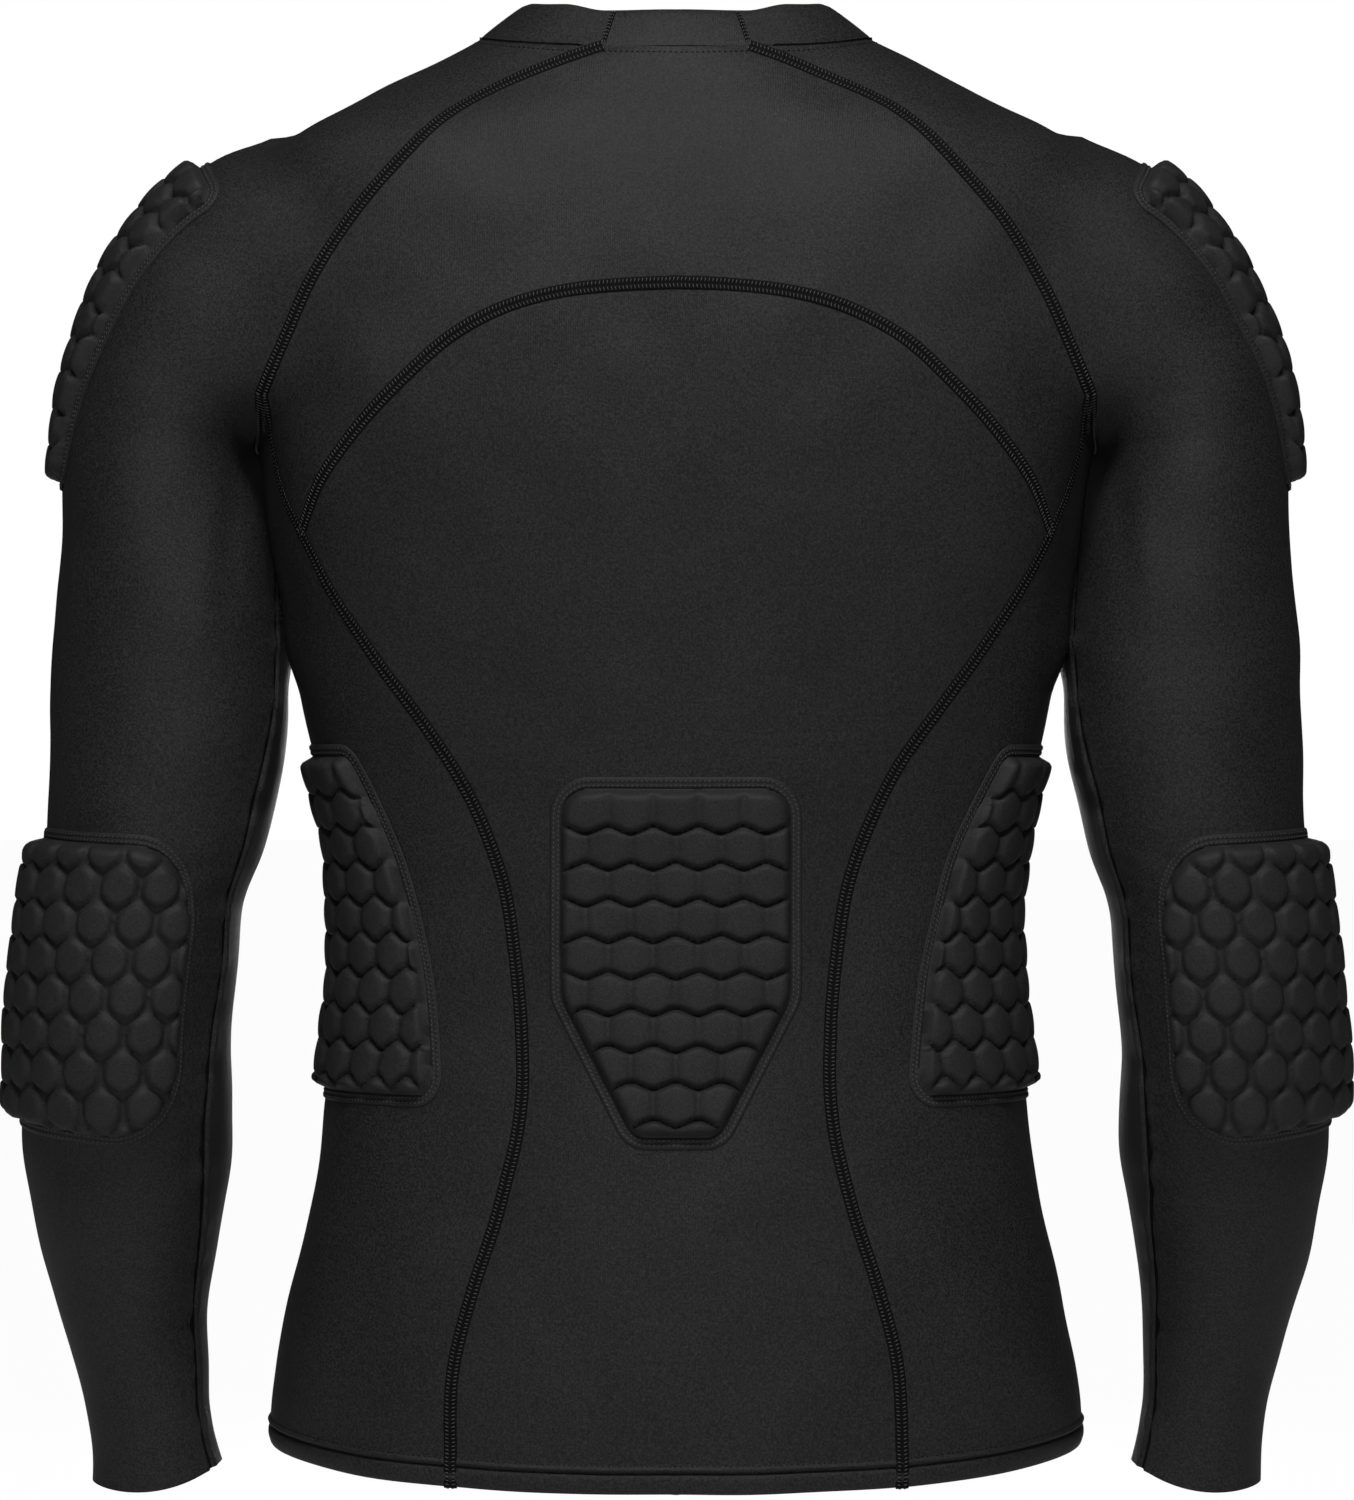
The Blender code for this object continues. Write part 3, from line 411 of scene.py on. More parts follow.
def along(points, shares):
    """Places at shares of the length of a smooth line through the given points."""
    points = np.array(points, float)
    keys = lengths(points)
    names = "key " + " ".join(f"c{i}" for i in range(points.shape[1]))
    table = Table(names, np.c_[keys, points].tolist())
    fine = np.linspace(0, keys[-1], 60 * len(points))
    dense = np.stack([table.read(f"c{i}", fine) for i in range(points.shape[1])], axis=1)
    return spaced(dense, shares)


def spaced(points, shares):
    """A polyline's places at shares of its length."""
    reach = lengths(points)
    wanted = np.asarray(shares) * reach[-1]
    return np.stack([np.interp(wanted, reach, column) for column in points.T], axis=1)


def close_at_ends(steps):
    """Shares from 0 to 1 with close steps at both ends, where the long seam draws in the cloth."""
    close = np.array(CLOSE_STEPS) / SLEEVE_GIRTH
    return np.r_[close, np.linspace(close[-1], 1 - close[-1], steps + 1)[1:-1], 1 - close[::-1]]


def onto_back(flat, direction=(0, 1, 0)):
    """Lays places seen from behind, as (x, z), on the back of the figure."""
    flat = np.asarray(flat)
    start = np.c_[flat[:, 0], np.zeros(len(flat)), flat[:, 1]]
    return cast(whole_form, start, direction)


def onto_front(flat):
    return onto_back(flat, direction=(0, -1, 0))


def neck_seam(angles):
    """Places on the neck seam by their angle in degrees, from the middle of the back."""
    angles = np.asarray(angles, float)
    start = np.c_[0 * angles, 0 * angles + NECK_AXIS_Y, NECKLINE.read("z", angles)]
    turn = np.radians(angles)
    direction = np.c_[np.sin(turn), np.cos(turn), 0 * turn]
    return cast(whole_form, start, direction)


def neck_angle(distance, low, high):
    """Angle between low and high at which the neck seam is this far from the middle."""
    angles = np.linspace(low, high, 200)
    across = neck_seam(angles)[:, 0]
    order = np.argsort(across)
    return float(np.interp(distance, across[order], angles[order]))


def hem_height(points):
    """Height of the hem below a place: it dips at the middle of the back and the front."""
    y = points[:, 1]
    depth = np.where(y > 0, TORSO.read("back", SIDE_HEM_Z), TORSO.read("front", SIDE_HEM_Z))
    return SIDE_HEM_Z - HEM_DIP * (y / depth) ** 2


def steps_to_hem(top, bottom, steps):
    """Heights from top to bottom, with the close rows of the sewn hem at the end."""
    low = bottom + np.array(HEM_ROWS)
    return np.r_[np.linspace(top, low[0], steps + 1)[:-1], low]


class Seams:
    """Every seam on the wearer's left, as places that the pieces on both sides share."""

    def __init__(self):
        self.back_angle = neck_angle(BACK_RAGLAN_X, 5, 80)
        self.front_angle = neck_angle(FRONT_RAGLAN_X, 175, 95)
        self.neck_back = neck_seam(np.linspace(0, self.back_angle, BACK_STEPS + 1))
        self.neck_front = neck_seam(np.linspace(180, self.front_angle, FRONT_STEPS + 1))
        side_angles = np.linspace(self.back_angle, self.front_angle, 240)
        self.sleeve_shares = close_at_ends(SLEEVE_STEPS)
        self.neck_side = spaced(neck_seam(side_angles), self.sleeve_shares)
        shares = np.linspace(0, 1, RAGLAN_STEPS + 1)
        back_start, front_start = self.neck_back[-1], self.neck_front[-1]
        back_rows = [(back_start[0], back_start[2])] + BACK_RAGLAN
        front_rows = [(front_start[0], front_start[2])] + FRONT_RAGLAN
        self.raglan_back = onto_back(along(back_rows, shares))
        self.raglan_front = onto_front(along(front_rows, shares))
        side_flat = along(SIDE_SEAM, np.linspace(0, 1, SIDE_SEAM_STEPS + 1))
        self.side_back = onto_back(side_flat)
        self.side_front = onto_front(side_flat)
        self.long_flat = self.long_rows()
        self.long_back = onto_back(self.long_flat)
        self.long_front = onto_front(self.long_flat)
        self.arch_flat = along(YOKE_ARCH, np.linspace(0, 1, BACK_STEPS + 1))
        self.underarm = self.underarm_rows()

    def long_rows(self):
        bottom = float(hem_height(onto_back([LONG_SEAM[-1]]))[0])
        dense = along(LONG_SEAM + [(101.5, bottom)], np.linspace(0, 1, 800))
        heights = steps_to_hem(LONG_SEAM[0][1], bottom, LONG_SEAM_STEPS)
        upper = dense[dense[:, 1] >= bottom + HEM_ROWS[0]]
        rows = spaced(upper, np.linspace(0, 1, LONG_SEAM_STEPS + 1))
        low = heights[LONG_SEAM_STEPS + 1:]
        across = np.interp(-low, -dense[:, 1], dense[:, 0])
        return np.r_[rows, np.c_[across, low]]

    def underarm_rows(self):
        """The armhole's lowest stretch, from the back round under the arm to the front."""
        back, front = self.side_back[0], self.side_front[0]
        share = np.linspace(0, 1, 121)[1:]
        halves = []
        for end in (back, front):
            y = end[1] * (1 - share)
            x = UNDERARM_X + (end[0] - UNDERARM_X) * (y / end[1]) ** 2
            start = np.c_[x, y, 0 * x + UNDERARM_TOP_Z]
            places = cast(whole_form, start, (0, 0, -1), UNDERARM_TOP_Z - UNDERARM_LOW_Z)
            halves.append(spaced(np.r_[end[None], places], np.linspace(0, 1, UNDERARM_STEPS + 1)))
        return np.r_[halves[0], halves[1][::-1][1:]]


def patch(top, bottom, start, end):
    """Grid between four edges: top and bottom run across, start and end run down."""
    down = np.linspace(0, 1, len(start))[:, None, None]
    over = np.linspace(0, 1, len(top))[None, :, None]
    rails = (1 - down) * top[None] + down * bottom[None]
    ribs = (1 - over) * start[:, None] + over * end[:, None]
    corners = ((1 - down) * (1 - over) * top[0] + (1 - down) * over * top[-1]
               + down * (1 - over) * bottom[0] + down * over * bottom[-1])
    return rails + ribs - corners


def both_halves(grid):
    """Completes a grid whose first column lies on the middle line."""
    return np.concatenate([grid[:, :0:-1] * MIRROR, grid], axis=1)


def over_middle(line):
    """Completes a line that starts on the middle line."""
    return np.r_[line[::-1] * MIRROR, line[1:]]


def lay(project, flat_grid):
    rows, columns, _ = flat_grid.shape
    return project(flat_grid.reshape(-1, 2)).reshape(rows, columns, 3)


def grid_outward(form, grid):
    return outward(form, grid.reshape(-1, 3)).reshape(grid.shape)


def fall(distance, half_width):
    """1 at no distance, falling softly to 0."""
    return np.exp(-(distance / half_width) ** 2)


def ramp(value, low, high):
    """0 below low, 1 above high, and a soft rise between them."""
    share = np.clip((value - low) / (high - low), 0, 1)
    return share * share * (3 - 2 * share)


def lean_together(points):
    """Just below the underarm the sleeve and the body swell towards each other."""
    x, y, z = points.T
    body_edge = TORSO.read("half_width", z)
    sleeve_edge = ARM.read("middle_x", z) - ARM.read("half_width", z)
    on_sleeve = np.abs(x) > (body_edge + sleeve_edge) / 2
    beside = fall(np.abs(x) - np.where(on_sleeve, sleeve_edge, body_edge), SWELL_REACH[0])
    most = np.where(on_sleeve, SLEEVE_SWELL[0], BODY_SWELL[0])
    middle = np.where(on_sleeve, SLEEVE_SWELL[1], BODY_SWELL[1])
    swell = most * fall(y - middle, SWELL_REACH[1])
    top, low = SWELL_TOP, SWELL_BOTTOM
    return swell * beside * ramp(-z, -top[1], -top[0]) * ramp(z, low[0], low[1])


def folds(points):
    """How far the cloth stands off the plain form: its creases and its slow unevenness."""
    x, y, z = points.T
    height = lean_together(points)
    for dent_x, dent_z, radius, depth in DENTS:
        height += depth * fall(np.hypot(np.abs(x) - dent_x, z - dent_z), radius)
    for depth, across, down, phase in SWELL:
        height += depth * np.sin(x / across * 2 * np.pi + phase) * np.sin(z / down * 2 * np.pi)
    flat = np.c_[x, z]
    for x0, z0, x1, z1, side, half_width, depth in CREASES:
        start, run = np.array((x0, z0)), np.array((x1 - x0, z1 - z0))
        share = np.clip((flat - start) @ run / (run @ run), 0, 1)
        distance = np.linalg.norm(flat - start - share[:, None] * run, axis=1)
        taper = 0.35 + 0.65 * np.sin(np.pi * np.clip(share, 0.02, 0.98)) ** 0.7
        facing = np.clip(y * side / 12, 0, 1)
        height += depth * taper * facing * fall(distance, half_width)
    return height


def dress(grid, normals, extra=0.0, mirrored=False):
    """Moves a grid on the plain form out to the cloth's real surface, on either hand."""
    if mirrored:
        grid, normals = grid * MIRROR, normals * MIRROR
    height = folds(grid.reshape(-1, 3)).reshape(grid.shape[:2]) + extra
    return grid + normals * height[..., None]


def hem_relief(rows):
    """Height of each row of a panel that ends in the sewn hem."""
    up = np.array(HEM_ROWS)
    height = hem_rise(up) - HEM_ROLL[0] * np.exp(-up / HEM_ROLL[1])
    for most, middle, half_width in HEM_LINES:
        height += most * fall(up - middle, half_width)
    relief = np.zeros(rows)
    relief[-len(up):] = height
    return relief[:, None]


def hem_rise(up):
    """How far the doubled cloth of the hem stands off, by height above its edge."""
    return HEM_RAISE / (1 + np.exp((up - HEM_STITCH - 0.6) * 4))


def laid_panel(project, flat, relief=0.0):
    """Lays a half panel on the figure, completes it and brings it out to the cloth's surface."""
    grid = both_halves(lay(project, flat))
    return dress(grid, grid_outward(whole_form, grid), relief)


def set_hem_rows(flat, bottom):
    flat[-len(HEM_ROWS):, :, 1] = bottom[:, 1] + np.array(HEM_ROWS)[:, None]


def hemmed_panel(project, seams, top, heights, outer_edge, steps):
    """A panel that ends in the sewn hem, from its half's top, middle heights and outer edge."""
    across = np.linspace(0, seams.long_flat[-1, 0], steps + 1)
    bottom = np.c_[across, hem_height(project(np.c_[across, 0 * across + MIDDLE_HEM_Z]))]
    bottom[-1] = seams.long_flat[-1]
    bottom[0, 1] = MIDDLE_HEM_Z
    flat = patch(top, bottom, np.c_[0 * heights, heights], outer_edge)
    set_hem_rows(flat, bottom)
    return laid_panel(project, flat, hem_relief(len(flat)))


def yoke_grid(seams):
    outer_edge = np.r_[seams.raglan_back, seams.side_back[1:]][:, [0, 2]]
    top = seams.neck_back[:, [0, 2]]
    heights = np.linspace(top[0, 1], YOKE_LOW_POINT[1], len(outer_edge))
    flat = patch(top, seams.arch_flat, np.c_[0 * heights, heights], outer_edge)
    return laid_panel(onto_back, flat)


def back_grid(seams):
    heights = steps_to_hem(YOKE_LOW_POINT[1], MIDDLE_HEM_Z, LONG_SEAM_STEPS)
    return hemmed_panel(onto_back, seams, seams.arch_flat, heights, seams.long_flat, BACK_STEPS)


def front_grid(seams):
    outer_edge = np.r_[seams.raglan_front[:, [0, 2]], seams.side_front[1:, [0, 2]],
                       seams.long_flat[1:]]
    top = seams.neck_front[:, [0, 2]]
    heights = np.r_[np.linspace(top[0, 1], CHEST_Z, RAGLAN_STEPS + SIDE_SEAM_STEPS + 1),
                    steps_to_hem(CHEST_Z, MIDDLE_HEM_Z, LONG_SEAM_STEPS)[1:]]
    return hemmed_panel(onto_front, seams, top, heights, outer_edge, FRONT_STEPS)


def lay_round(flat):
    """Lays places given as (turn, z) on the body of the shirt, out from its middle."""
    start = np.c_[0 * flat[:, 0], 0 * flat[:, 0], flat[:, 1]]
    direction = np.c_[np.cos(flat[:, 0]), np.sin(flat[:, 0]), 0 * flat[:, 0]]
    return cast(torso_form, start, direction)


def turned(points):
    return np.c_[np.arctan2(points[:, 1], points[:, 0]), points[:, 2]]


def side_shape(seams):
    """The side panel, from the back seam round the side to the front seam: its plain grid, the
    outward directions and its own relief."""
    back_edge = np.r_[seams.side_back, seams.long_back[1:]]
    front_edge = np.r_[seams.side_front, seams.long_front[1:]]
    columns = 2 * UNDERARM_STEPS
    turns = np.linspace(turned(back_edge)[-1, 0], turned(front_edge)[-1, 0], columns + 1)
    low = lay_round(np.c_[turns, 0 * turns + SIDE_HEM_Z])
    bottom = np.c_[turns, hem_height(low)]
    flat = patch(turned(seams.underarm), bottom, turned(back_edge), turned(front_edge))
    set_hem_rows(flat, bottom)
    grid = lay(lay_round, flat)
    grid[0], grid[:, 0], grid[:, -1] = seams.underarm, back_edge, front_edge
    normals = grid_outward(torso_form, grid)
    for edge in (0, -1):
        normals[:, edge] = outward(whole_form, grid[:, edge])
    normals[0] = outward(whole_form, grid[0])
    return grid, normals, hem_relief(len(grid))


def section(back, front, ridge, inset, shares):
    """Places round the outside from back to front, in the plane that also meets the ridge."""
    middle = (back + front) / 2
    out = ridge - middle
    reach = np.linalg.norm(out)
    out /= reach
    side = back - front
    side -= out * np.dot(side, out)
    side /= np.linalg.norm(side)
    centre = middle + out * reach * inset
    turns = [math.atan2(np.dot(p - centre, side), np.dot(p - centre, out)) for p in (back, front)]
    turn = np.linspace(turns[0], turns[1], 161)[1:-1]
    direction = np.cos(turn)[:, None] * out + np.sin(turn)[:, None] * side
    places = cast(whole_form, np.tile(centre, (len(turn), 1)), direction)
    return spaced(np.r_[back[None], places, front[None]], shares)


def inseam_relief(grid, rows, shares):
    """The groove of the sleeve's long seam, with the little puckers that it draws in."""
    relief = np.zeros(grid.shape[:2])
    z = grid[rows:, 0, 2]
    girth = np.linalg.norm(np.diff(grid[rows:], axis=1), axis=2).sum(axis=1)
    off = np.minimum(shares, 1 - shares)[None] * girth[:, None]
    begin = np.clip((-z - 205) / 60, 0, 1)[:, None]
    pull = np.sin(z / 2.6) * np.sin(z / 13.1 + 0.6) + 0.6 * np.sin(z / 4.9 + 2.0)
    skew = 1 + 0.5 * np.sign(0.5 - shares)[None] * np.sin(z / 17.0)[:, None]
    puckers = pull[:, None] * np.exp(-off / PUCKER_REACH) * (1 - fall(off, 1.0)) * skew
    ridge = INSEAM_RIDGE[0] * fall(off - INSEAM_RIDGE[1], INSEAM_RIDGE[2])
    groove = INSEAM_GROOVE[0] * fall(off, INSEAM_GROOVE[1])
    relief[rows:] = begin * (groove + ridge + puckers)
    return relief


def sleeve_shape(seams):
    """The sleeve, from the neckband to the cuff: its plain grid, the outward directions and its
    own relief."""
    shares = seams.sleeve_shares
    rows = [seams.neck_side]
    open_steps = RAGLAN_STEPS + UNDERARM_STEPS
    raglan_shares = SHOULDER_SHARE * np.linspace(0, 1, RAGLAN_STEPS + 1)
    under_shares = np.linspace(SHOULDER_SHARE, 1, UNDERARM_STEPS + 1)[1:]
    ridge_flat = along(SHOULDER_LINE, np.r_[raglan_shares, under_shares])
    under_back = seams.underarm[:UNDERARM_STEPS + 1]
    under_front = seams.underarm[::-1][:UNDERARM_STEPS + 1]
    backs = np.r_[seams.raglan_back, under_back[1:]]
    fronts = np.r_[seams.raglan_front, under_front[1:]]
    for i in range(1, open_steps):
        ridge = np.array([ridge_flat[i, 0], 0, ridge_flat[i, 1]])
        under = np.clip((i - RAGLAN_STEPS) / 3, 0, 1)
        rows.append(section(backs[i], fronts[i], ridge, ARM_CENTRE_SHARE * under, shares))
    outer_z, inner_z = ridge_flat[-1, 1], backs[-1, 2]
    for k in range(SLEEVE_RINGS + 1):
        share = k / SLEEVE_RINGS
        drop = inner_z + (CUFF_Z - inner_z) * share
        turn = math.radians(float(INSEAM.read("angle", drop))) - 2 * np.pi * shares
        top_z = (outer_z + inner_z) / 2 + (outer_z - inner_z) / 2 * np.cos(turn)
        rows.append(sleeve_ring(turn, top_z + (cuff_height(turn) - top_z) * share))
    rows[open_steps][0] = rows[open_steps][-1] = backs[-1]
    grid = np.array(rows)
    normals = np.concatenate([grid_outward(whole_form, grid[:open_steps]),
                              grid_outward(arm_form, grid[open_steps:])])
    for column in (0, -1):
        normals[:open_steps + 1, column] = outward(whole_form, grid[:open_steps + 1, column])
    return grid, normals, inseam_relief(grid, open_steps, shares)


def cuff_height(turn):
    """Height of the sleeve's end, by the turn round the sleeve."""
    return CUFF_Z - CUFF_SLANT * np.cos(turn) - CUFF_RISE * np.sin(turn) ** 2


def sleeve_ring(turn, z):
    x = ARM.read("middle_x", z) + ARM.read("half_width", z) * np.cos(turn)
    y = ARM.read("middle_y", z) + ARM.read("half_depth", z) * np.sin(turn)
    return np.stack([x, y, z], axis=1)


def band_grid(places, angles):
    """A stretch of neckband that stands on the neck seam and leans in."""
    run = unit(np.gradient(places, axis=0))
    turn = np.radians(angles)
    plan_in = -np.c_[np.sin(turn), np.cos(turn), 0 * turn]
    lean = BAND_LEAN + BAND_SIDE_LEAN * np.sin(turn) ** 2
    aside = np.abs((angles + 180) % 360 - 180)
    height = (BAND_HEIGHT - BAND_SIDE_DROP * np.sin(turn) ** 4
              + BAND_SHOULDER_RISE * ramp(aside, 31, 48) * ramp(-aside, -92, -62))
    rise = plan_in * lean[:, None] + np.c_[0 * turn, 0 * turn, height]
    facing = unit(np.cross(rise, run))
    share = np.linspace(0, 1, BAND_ROWS + 1)[::-1, None, None]
    bulge = BAND_BULGE * np.sin(np.pi * share) ** 0.5 + 0.3
    roll = 0.8 * np.exp(-(1 - share) * 14)
    return places + rise * share + facing * (bulge - roll)


def plan_angles(places):
    return np.degrees(np.arctan2(places[:, 0], places[:, 1] - NECK_AXIS_Y))


def weave_lengths(grid):
    """Distances across and down a grid, for the pattern of the knit."""
    across = np.cumsum(np.linalg.norm(np.diff(grid, axis=1), axis=2), axis=1)
    across = np.concatenate([0 * across[:, :1], across], axis=1)
    across -= across[:, -1:] / 2
    down = np.cumsum(np.linalg.norm(np.diff(grid, axis=0), axis=2), axis=0)
    down = np.concatenate([0 * down[:1], down], axis=0)
    return across, down


def grid_mesh(name, grid):
    """A surface of quads through a grid of places, with its knit lengths as its UV map."""
    across, down = weave_lengths(grid)
    return charted_mesh(name, grid.reshape(-1, 3), grid_quads(grid)[1],
                        np.c_[across.ravel(), down.ravel()])


def grid_quads(grid):
    """The numbers of a grid's places, and of the four corners of each of its quads."""
    rows, columns, _ = grid.shape
    index = np.arange(rows * columns).reshape(rows, columns)
    quads = np.stack([index[:-1, :-1], index[1:, :-1], index[1:, 1:], index[:-1, 1:]], axis=-1)
    return index, quads.reshape(-1, 4)


def charted_mesh(name, places, faces, chart):
    """A mesh with four-sided faces, whose chart of flat lengths becomes its UV map."""
    mesh = bpy.data.meshes.new(name)
    mesh.from_pydata((places * MM).tolist(), [], faces.tolist())
    flat = (chart * MM)[faces.ravel()]
    weave = mesh.uv_layers.new(name="Weave")
    weave.data.foreach_set("uv", flat.astype(np.float32).ravel())
    return mesh


def turn_out(mesh):
    """Turns the faces of a closed mesh outward."""
    bm = bmesh.new()
    bm.from_mesh(mesh)
    bmesh.ops.recalc_face_normals(bm, faces=bm.faces)
    bm.to_mesh(mesh)
    bm.free()


def face_out(mesh, form=None):
    """Turns a surface so that its faces point away from the figure, and joins edges that meet."""
    bm = bmesh.new()
    bm.from_mesh(mesh)
    bmesh.ops.remove_doubles(bm, verts=bm.verts, dist=0.02 * MM)
    bm.normal_update()
    centres = np.array([face.calc_center_median() for face in bm.faces]) / MM
    normals = np.array([face.normal for face in bm.faces])
    form = form or whole_form
    sample = slice(0, None, max(1, len(centres) // 400))
    if np.sum(outward(form, centres[sample]) * normals[sample]) < 0:
        bmesh.ops.reverse_faces(bm, faces=bm.faces)
    bm.to_mesh(mesh)
    bm.free()


def placed(name, data):
    """A new object in the scene, at the origin."""
    thing = bpy.data.objects.new(name, data)
    bpy.context.scene.collection.objects.link(thing)
    return thing


def add_piece(name, mesh, finish):
    mesh.materials.clear()
    mesh.materials.append(finish)
    mesh.shade_smooth()
    return placed(name, mesh)


def settled(piece):
    """The piece as its modifiers leave it, as a plain mesh in a piece without modifiers."""
    depsgraph = bpy.context.evaluated_depsgraph_get()
    mesh = bpy.data.meshes.new_from_object(piece.evaluated_get(depsgraph))
    piece.modifiers.clear()
    old = piece.data
    piece.data = mesh
    mesh.name = piece.name
    if isinstance(old, bpy.types.Mesh):
        bpy.data.meshes.remove(old)
    return piece


def flat_cut(grid, straight):
    """Width, length and area of a piece of cloth before it is sewn and stretched. The width is
    measured level unless the piece counts as straight."""
    rows = np.diff(grid, axis=1)
    if not straight:
        rows = rows[..., :2]
    wide = np.linalg.norm(rows, axis=2).sum(axis=1).max() / STRETCH_ROUND
    longest = np.linalg.norm(np.diff(grid, axis=0), axis=2).sum(axis=0).max()
    tall = grid[..., 2].max() - grid[..., 2].min()
    long = min(longest, LEAN_SHARE * tall) / STRETCH_ALONG
    area = grid_area(grid) / (STRETCH_ROUND * STRETCH_ALONG)
    return wide, long, min(area, wide * long)


def cloth_piece(name, grid, finish, thick=CLOTH_THICK, form=None):
    """A thin shell of cloth over a grid, with a real inside."""
    mesh = grid_mesh(f"{name}_cloth", grid)
    face_out(mesh, form)
    piece = add_piece(f"{name}_cloth", mesh, finish)
    wall = piece.modifiers.new("thickness", "SOLIDIFY")
    wall.thickness = thick * MM
    wall.offset = -1
    settled(piece)
    piece.data.set_sharp_from_angle(angle=math.radians(50))
    wide, long, area = flat_cut(grid, straight=form is not None)
    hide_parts(name)
    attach(piece, "root")
    wide * MM
    long * MM
    area * MM * MM
    return piece


def grid_area(grid):
    across = grid[1:, 1:] - grid[:-1, :-1]
    down = grid[1:, :-1] - grid[:-1, 1:]
    return float(np.linalg.norm(np.cross(across, down), axis=2).sum()) / 2


def corner_frame(corners, i):
    """A corner, the directions to its neighbours, and half the angle between them."""
    here = Vector(corners[i][:2])
    before = (Vector(corners[i - 1][:2]) - here).normalized()
    after = (Vector(corners[(i + 1) % len(corners)][:2]) - here).normalized()
    return here, before, after, before.angle(after) / 2


def widened(corners, distance):
    """A convex outline moved out by a distance."""
    moved = []
    for i, corner in enumerate(corners):
        here, before, after, half = corner_frame(corners, i)
        place = here - (before + after).normalized() * distance / math.sin(half)
        moved.append((place.x, place.y, corner[2] + distance))
    return moved


def corner_arcs(corners):
    """For each corner of an outline, the arc that rounds it."""
    arcs = []
    for i, corner in enumerate(corners):
        here, before, after, half = corner_frame(corners, i)
        radius = corner[2]
        first = here + before * radius / math.tan(half)
        last = here + after * radius / math.tan(half)
        centre = here + (before + after).normalized() * radius / math.sin(half)
        arc = []
        for k in range(CORNER_STEPS):
            place = first.lerp(last, k / (CORNER_STEPS - 1))
            arc.append(centre + (place - centre).normalized() * radius)
        arcs.append(np.array(arc))
    return arcs


def outline_sides(corners):
    """The outline as four sides that meet at the middles of its four main corners."""
    arcs = corner_arcs(corners)
    count, half = len(corners), CORNER_STEPS // 2

    def run(first, last):
        places = [arcs[first][half:]]
        i = (first + 1) % count
        while i != last:
            places.append(arcs[i])
            i = (i + 1) % count
        places.append(arcs[last][:half + 1])
        return np.concatenate(places)

    low = count // 2
    bottom = run(low - 1, low)[::-1]
    left = run(low, count - 1)[::-1]
    return run(count - 1, 0), bottom, left, run(0, low - 1)


def inside_distance(places, corners):
    """How far places lie inside a rounded outline, negative outside it."""
    loop = np.concatenate(corner_arcs(corners))
    start, run = loop, np.roll(loop, -1, axis=0) - loop
    keep = np.linalg.norm(run, axis=1) > 1e-6
    start, run = start[keep], run[keep]
    offset = places[:, None] - start[None]
    share = np.clip((offset * run).sum(axis=2) / (run * run).sum(axis=1), 0, 1)
    gap = np.linalg.norm(offset - share[..., None] * run, axis=2).min(axis=1)
    side = run[:, 0] * offset[..., 1] - run[:, 1] * offset[..., 0]
    middle = loop.mean(axis=0) - start
    inward = np.sign(run[:, 0] * middle[:, 1] - run[:, 1] * middle[:, 0])
    inside = (side * inward >= -1e-9).all(axis=1)
    return np.where(inside, gap, -gap)


def soft_least(*distances, softness=0.9):
    """The least of several distances, with rounded corners where two are alike."""
    total = sum(np.exp(-distance / softness) for distance in distances)
    return -softness * np.log(total)


def six_sided_cells(places, middle, top, first):
    """For each place: the distance to its cell's border, twice, and the cell's middle."""
    row = (places[:, 1] - top) / CELL_ROW - first
    best = np.full(len(places), 1e9)
    centre = np.zeros_like(places)
    for step in (0, 1):
        number = np.floor(row) + step
        shift = 0.5 * (number % 2)
        column = np.round((places[:, 0] - middle) / CELL_PITCH - shift)
        spot = np.c_[middle + (column + shift) * CELL_PITCH,
                     top + (number + first) * CELL_ROW]
        distance = np.linalg.norm(places - spot, axis=1)
        nearer = distance < best
        best[nearer] = distance[nearer]
        centre[nearer] = spot[nearer]
    offset = np.abs(places - centre)
    lean = np.array((CELL_PITCH / 2, CELL_ROW))
    reach = np.linalg.norm(lean)
    beside = CELL_PITCH / 2 - offset[:, 0]
    slanting = reach / 2 - offset @ lean / reach
    rounded = CELL_ROUND * CELL_PITCH - np.linalg.norm(places - centre, axis=1)
    border = np.maximum(soft_least(beside, slanting, rounded) + 0.35, 0)
    return border, border, centre


def wavy_cells(places, middle, top, first, wave):
    """For each place: distance to its row's wavy border, to the cell beside, and the cell's middle."""
    row = (places[:, 1] - top) / CELL_ROW - first
    turn = (places[:, 0] - middle) / CELL_PITCH * 2 * np.pi
    steep = 1 / np.sqrt(1 + (wave * 2 * np.pi / CELL_PITCH * np.sin(turn)) ** 2)
    between = np.full(len(places), 1e9)
    number = np.floor(row)
    own = number.copy()
    for step in (-1, 0, 1):
        swing = wave / CELL_ROW * np.cos(turn) * np.where((number + step) % 2, -1, 1)
        below = row - (number + step + 0.5 + swing)
        distance = np.where(number + step < 0, 1e9, np.abs(below) * CELL_ROW * steep)
        between = np.minimum(between, distance)
        if step == 0:
            own = np.where(below > 0, number + 1, number)
    shift = 0.5 * (own % 2)
    column = np.round((places[:, 0] - middle) / CELL_PITCH - shift)
    centre = np.c_[middle + (column + shift) * CELL_PITCH, top + (own + first) * CELL_ROW]
    beside = CELL_PITCH / 2 - np.abs(places[:, 0] - centre[:, 0])
    return between, beside, centre


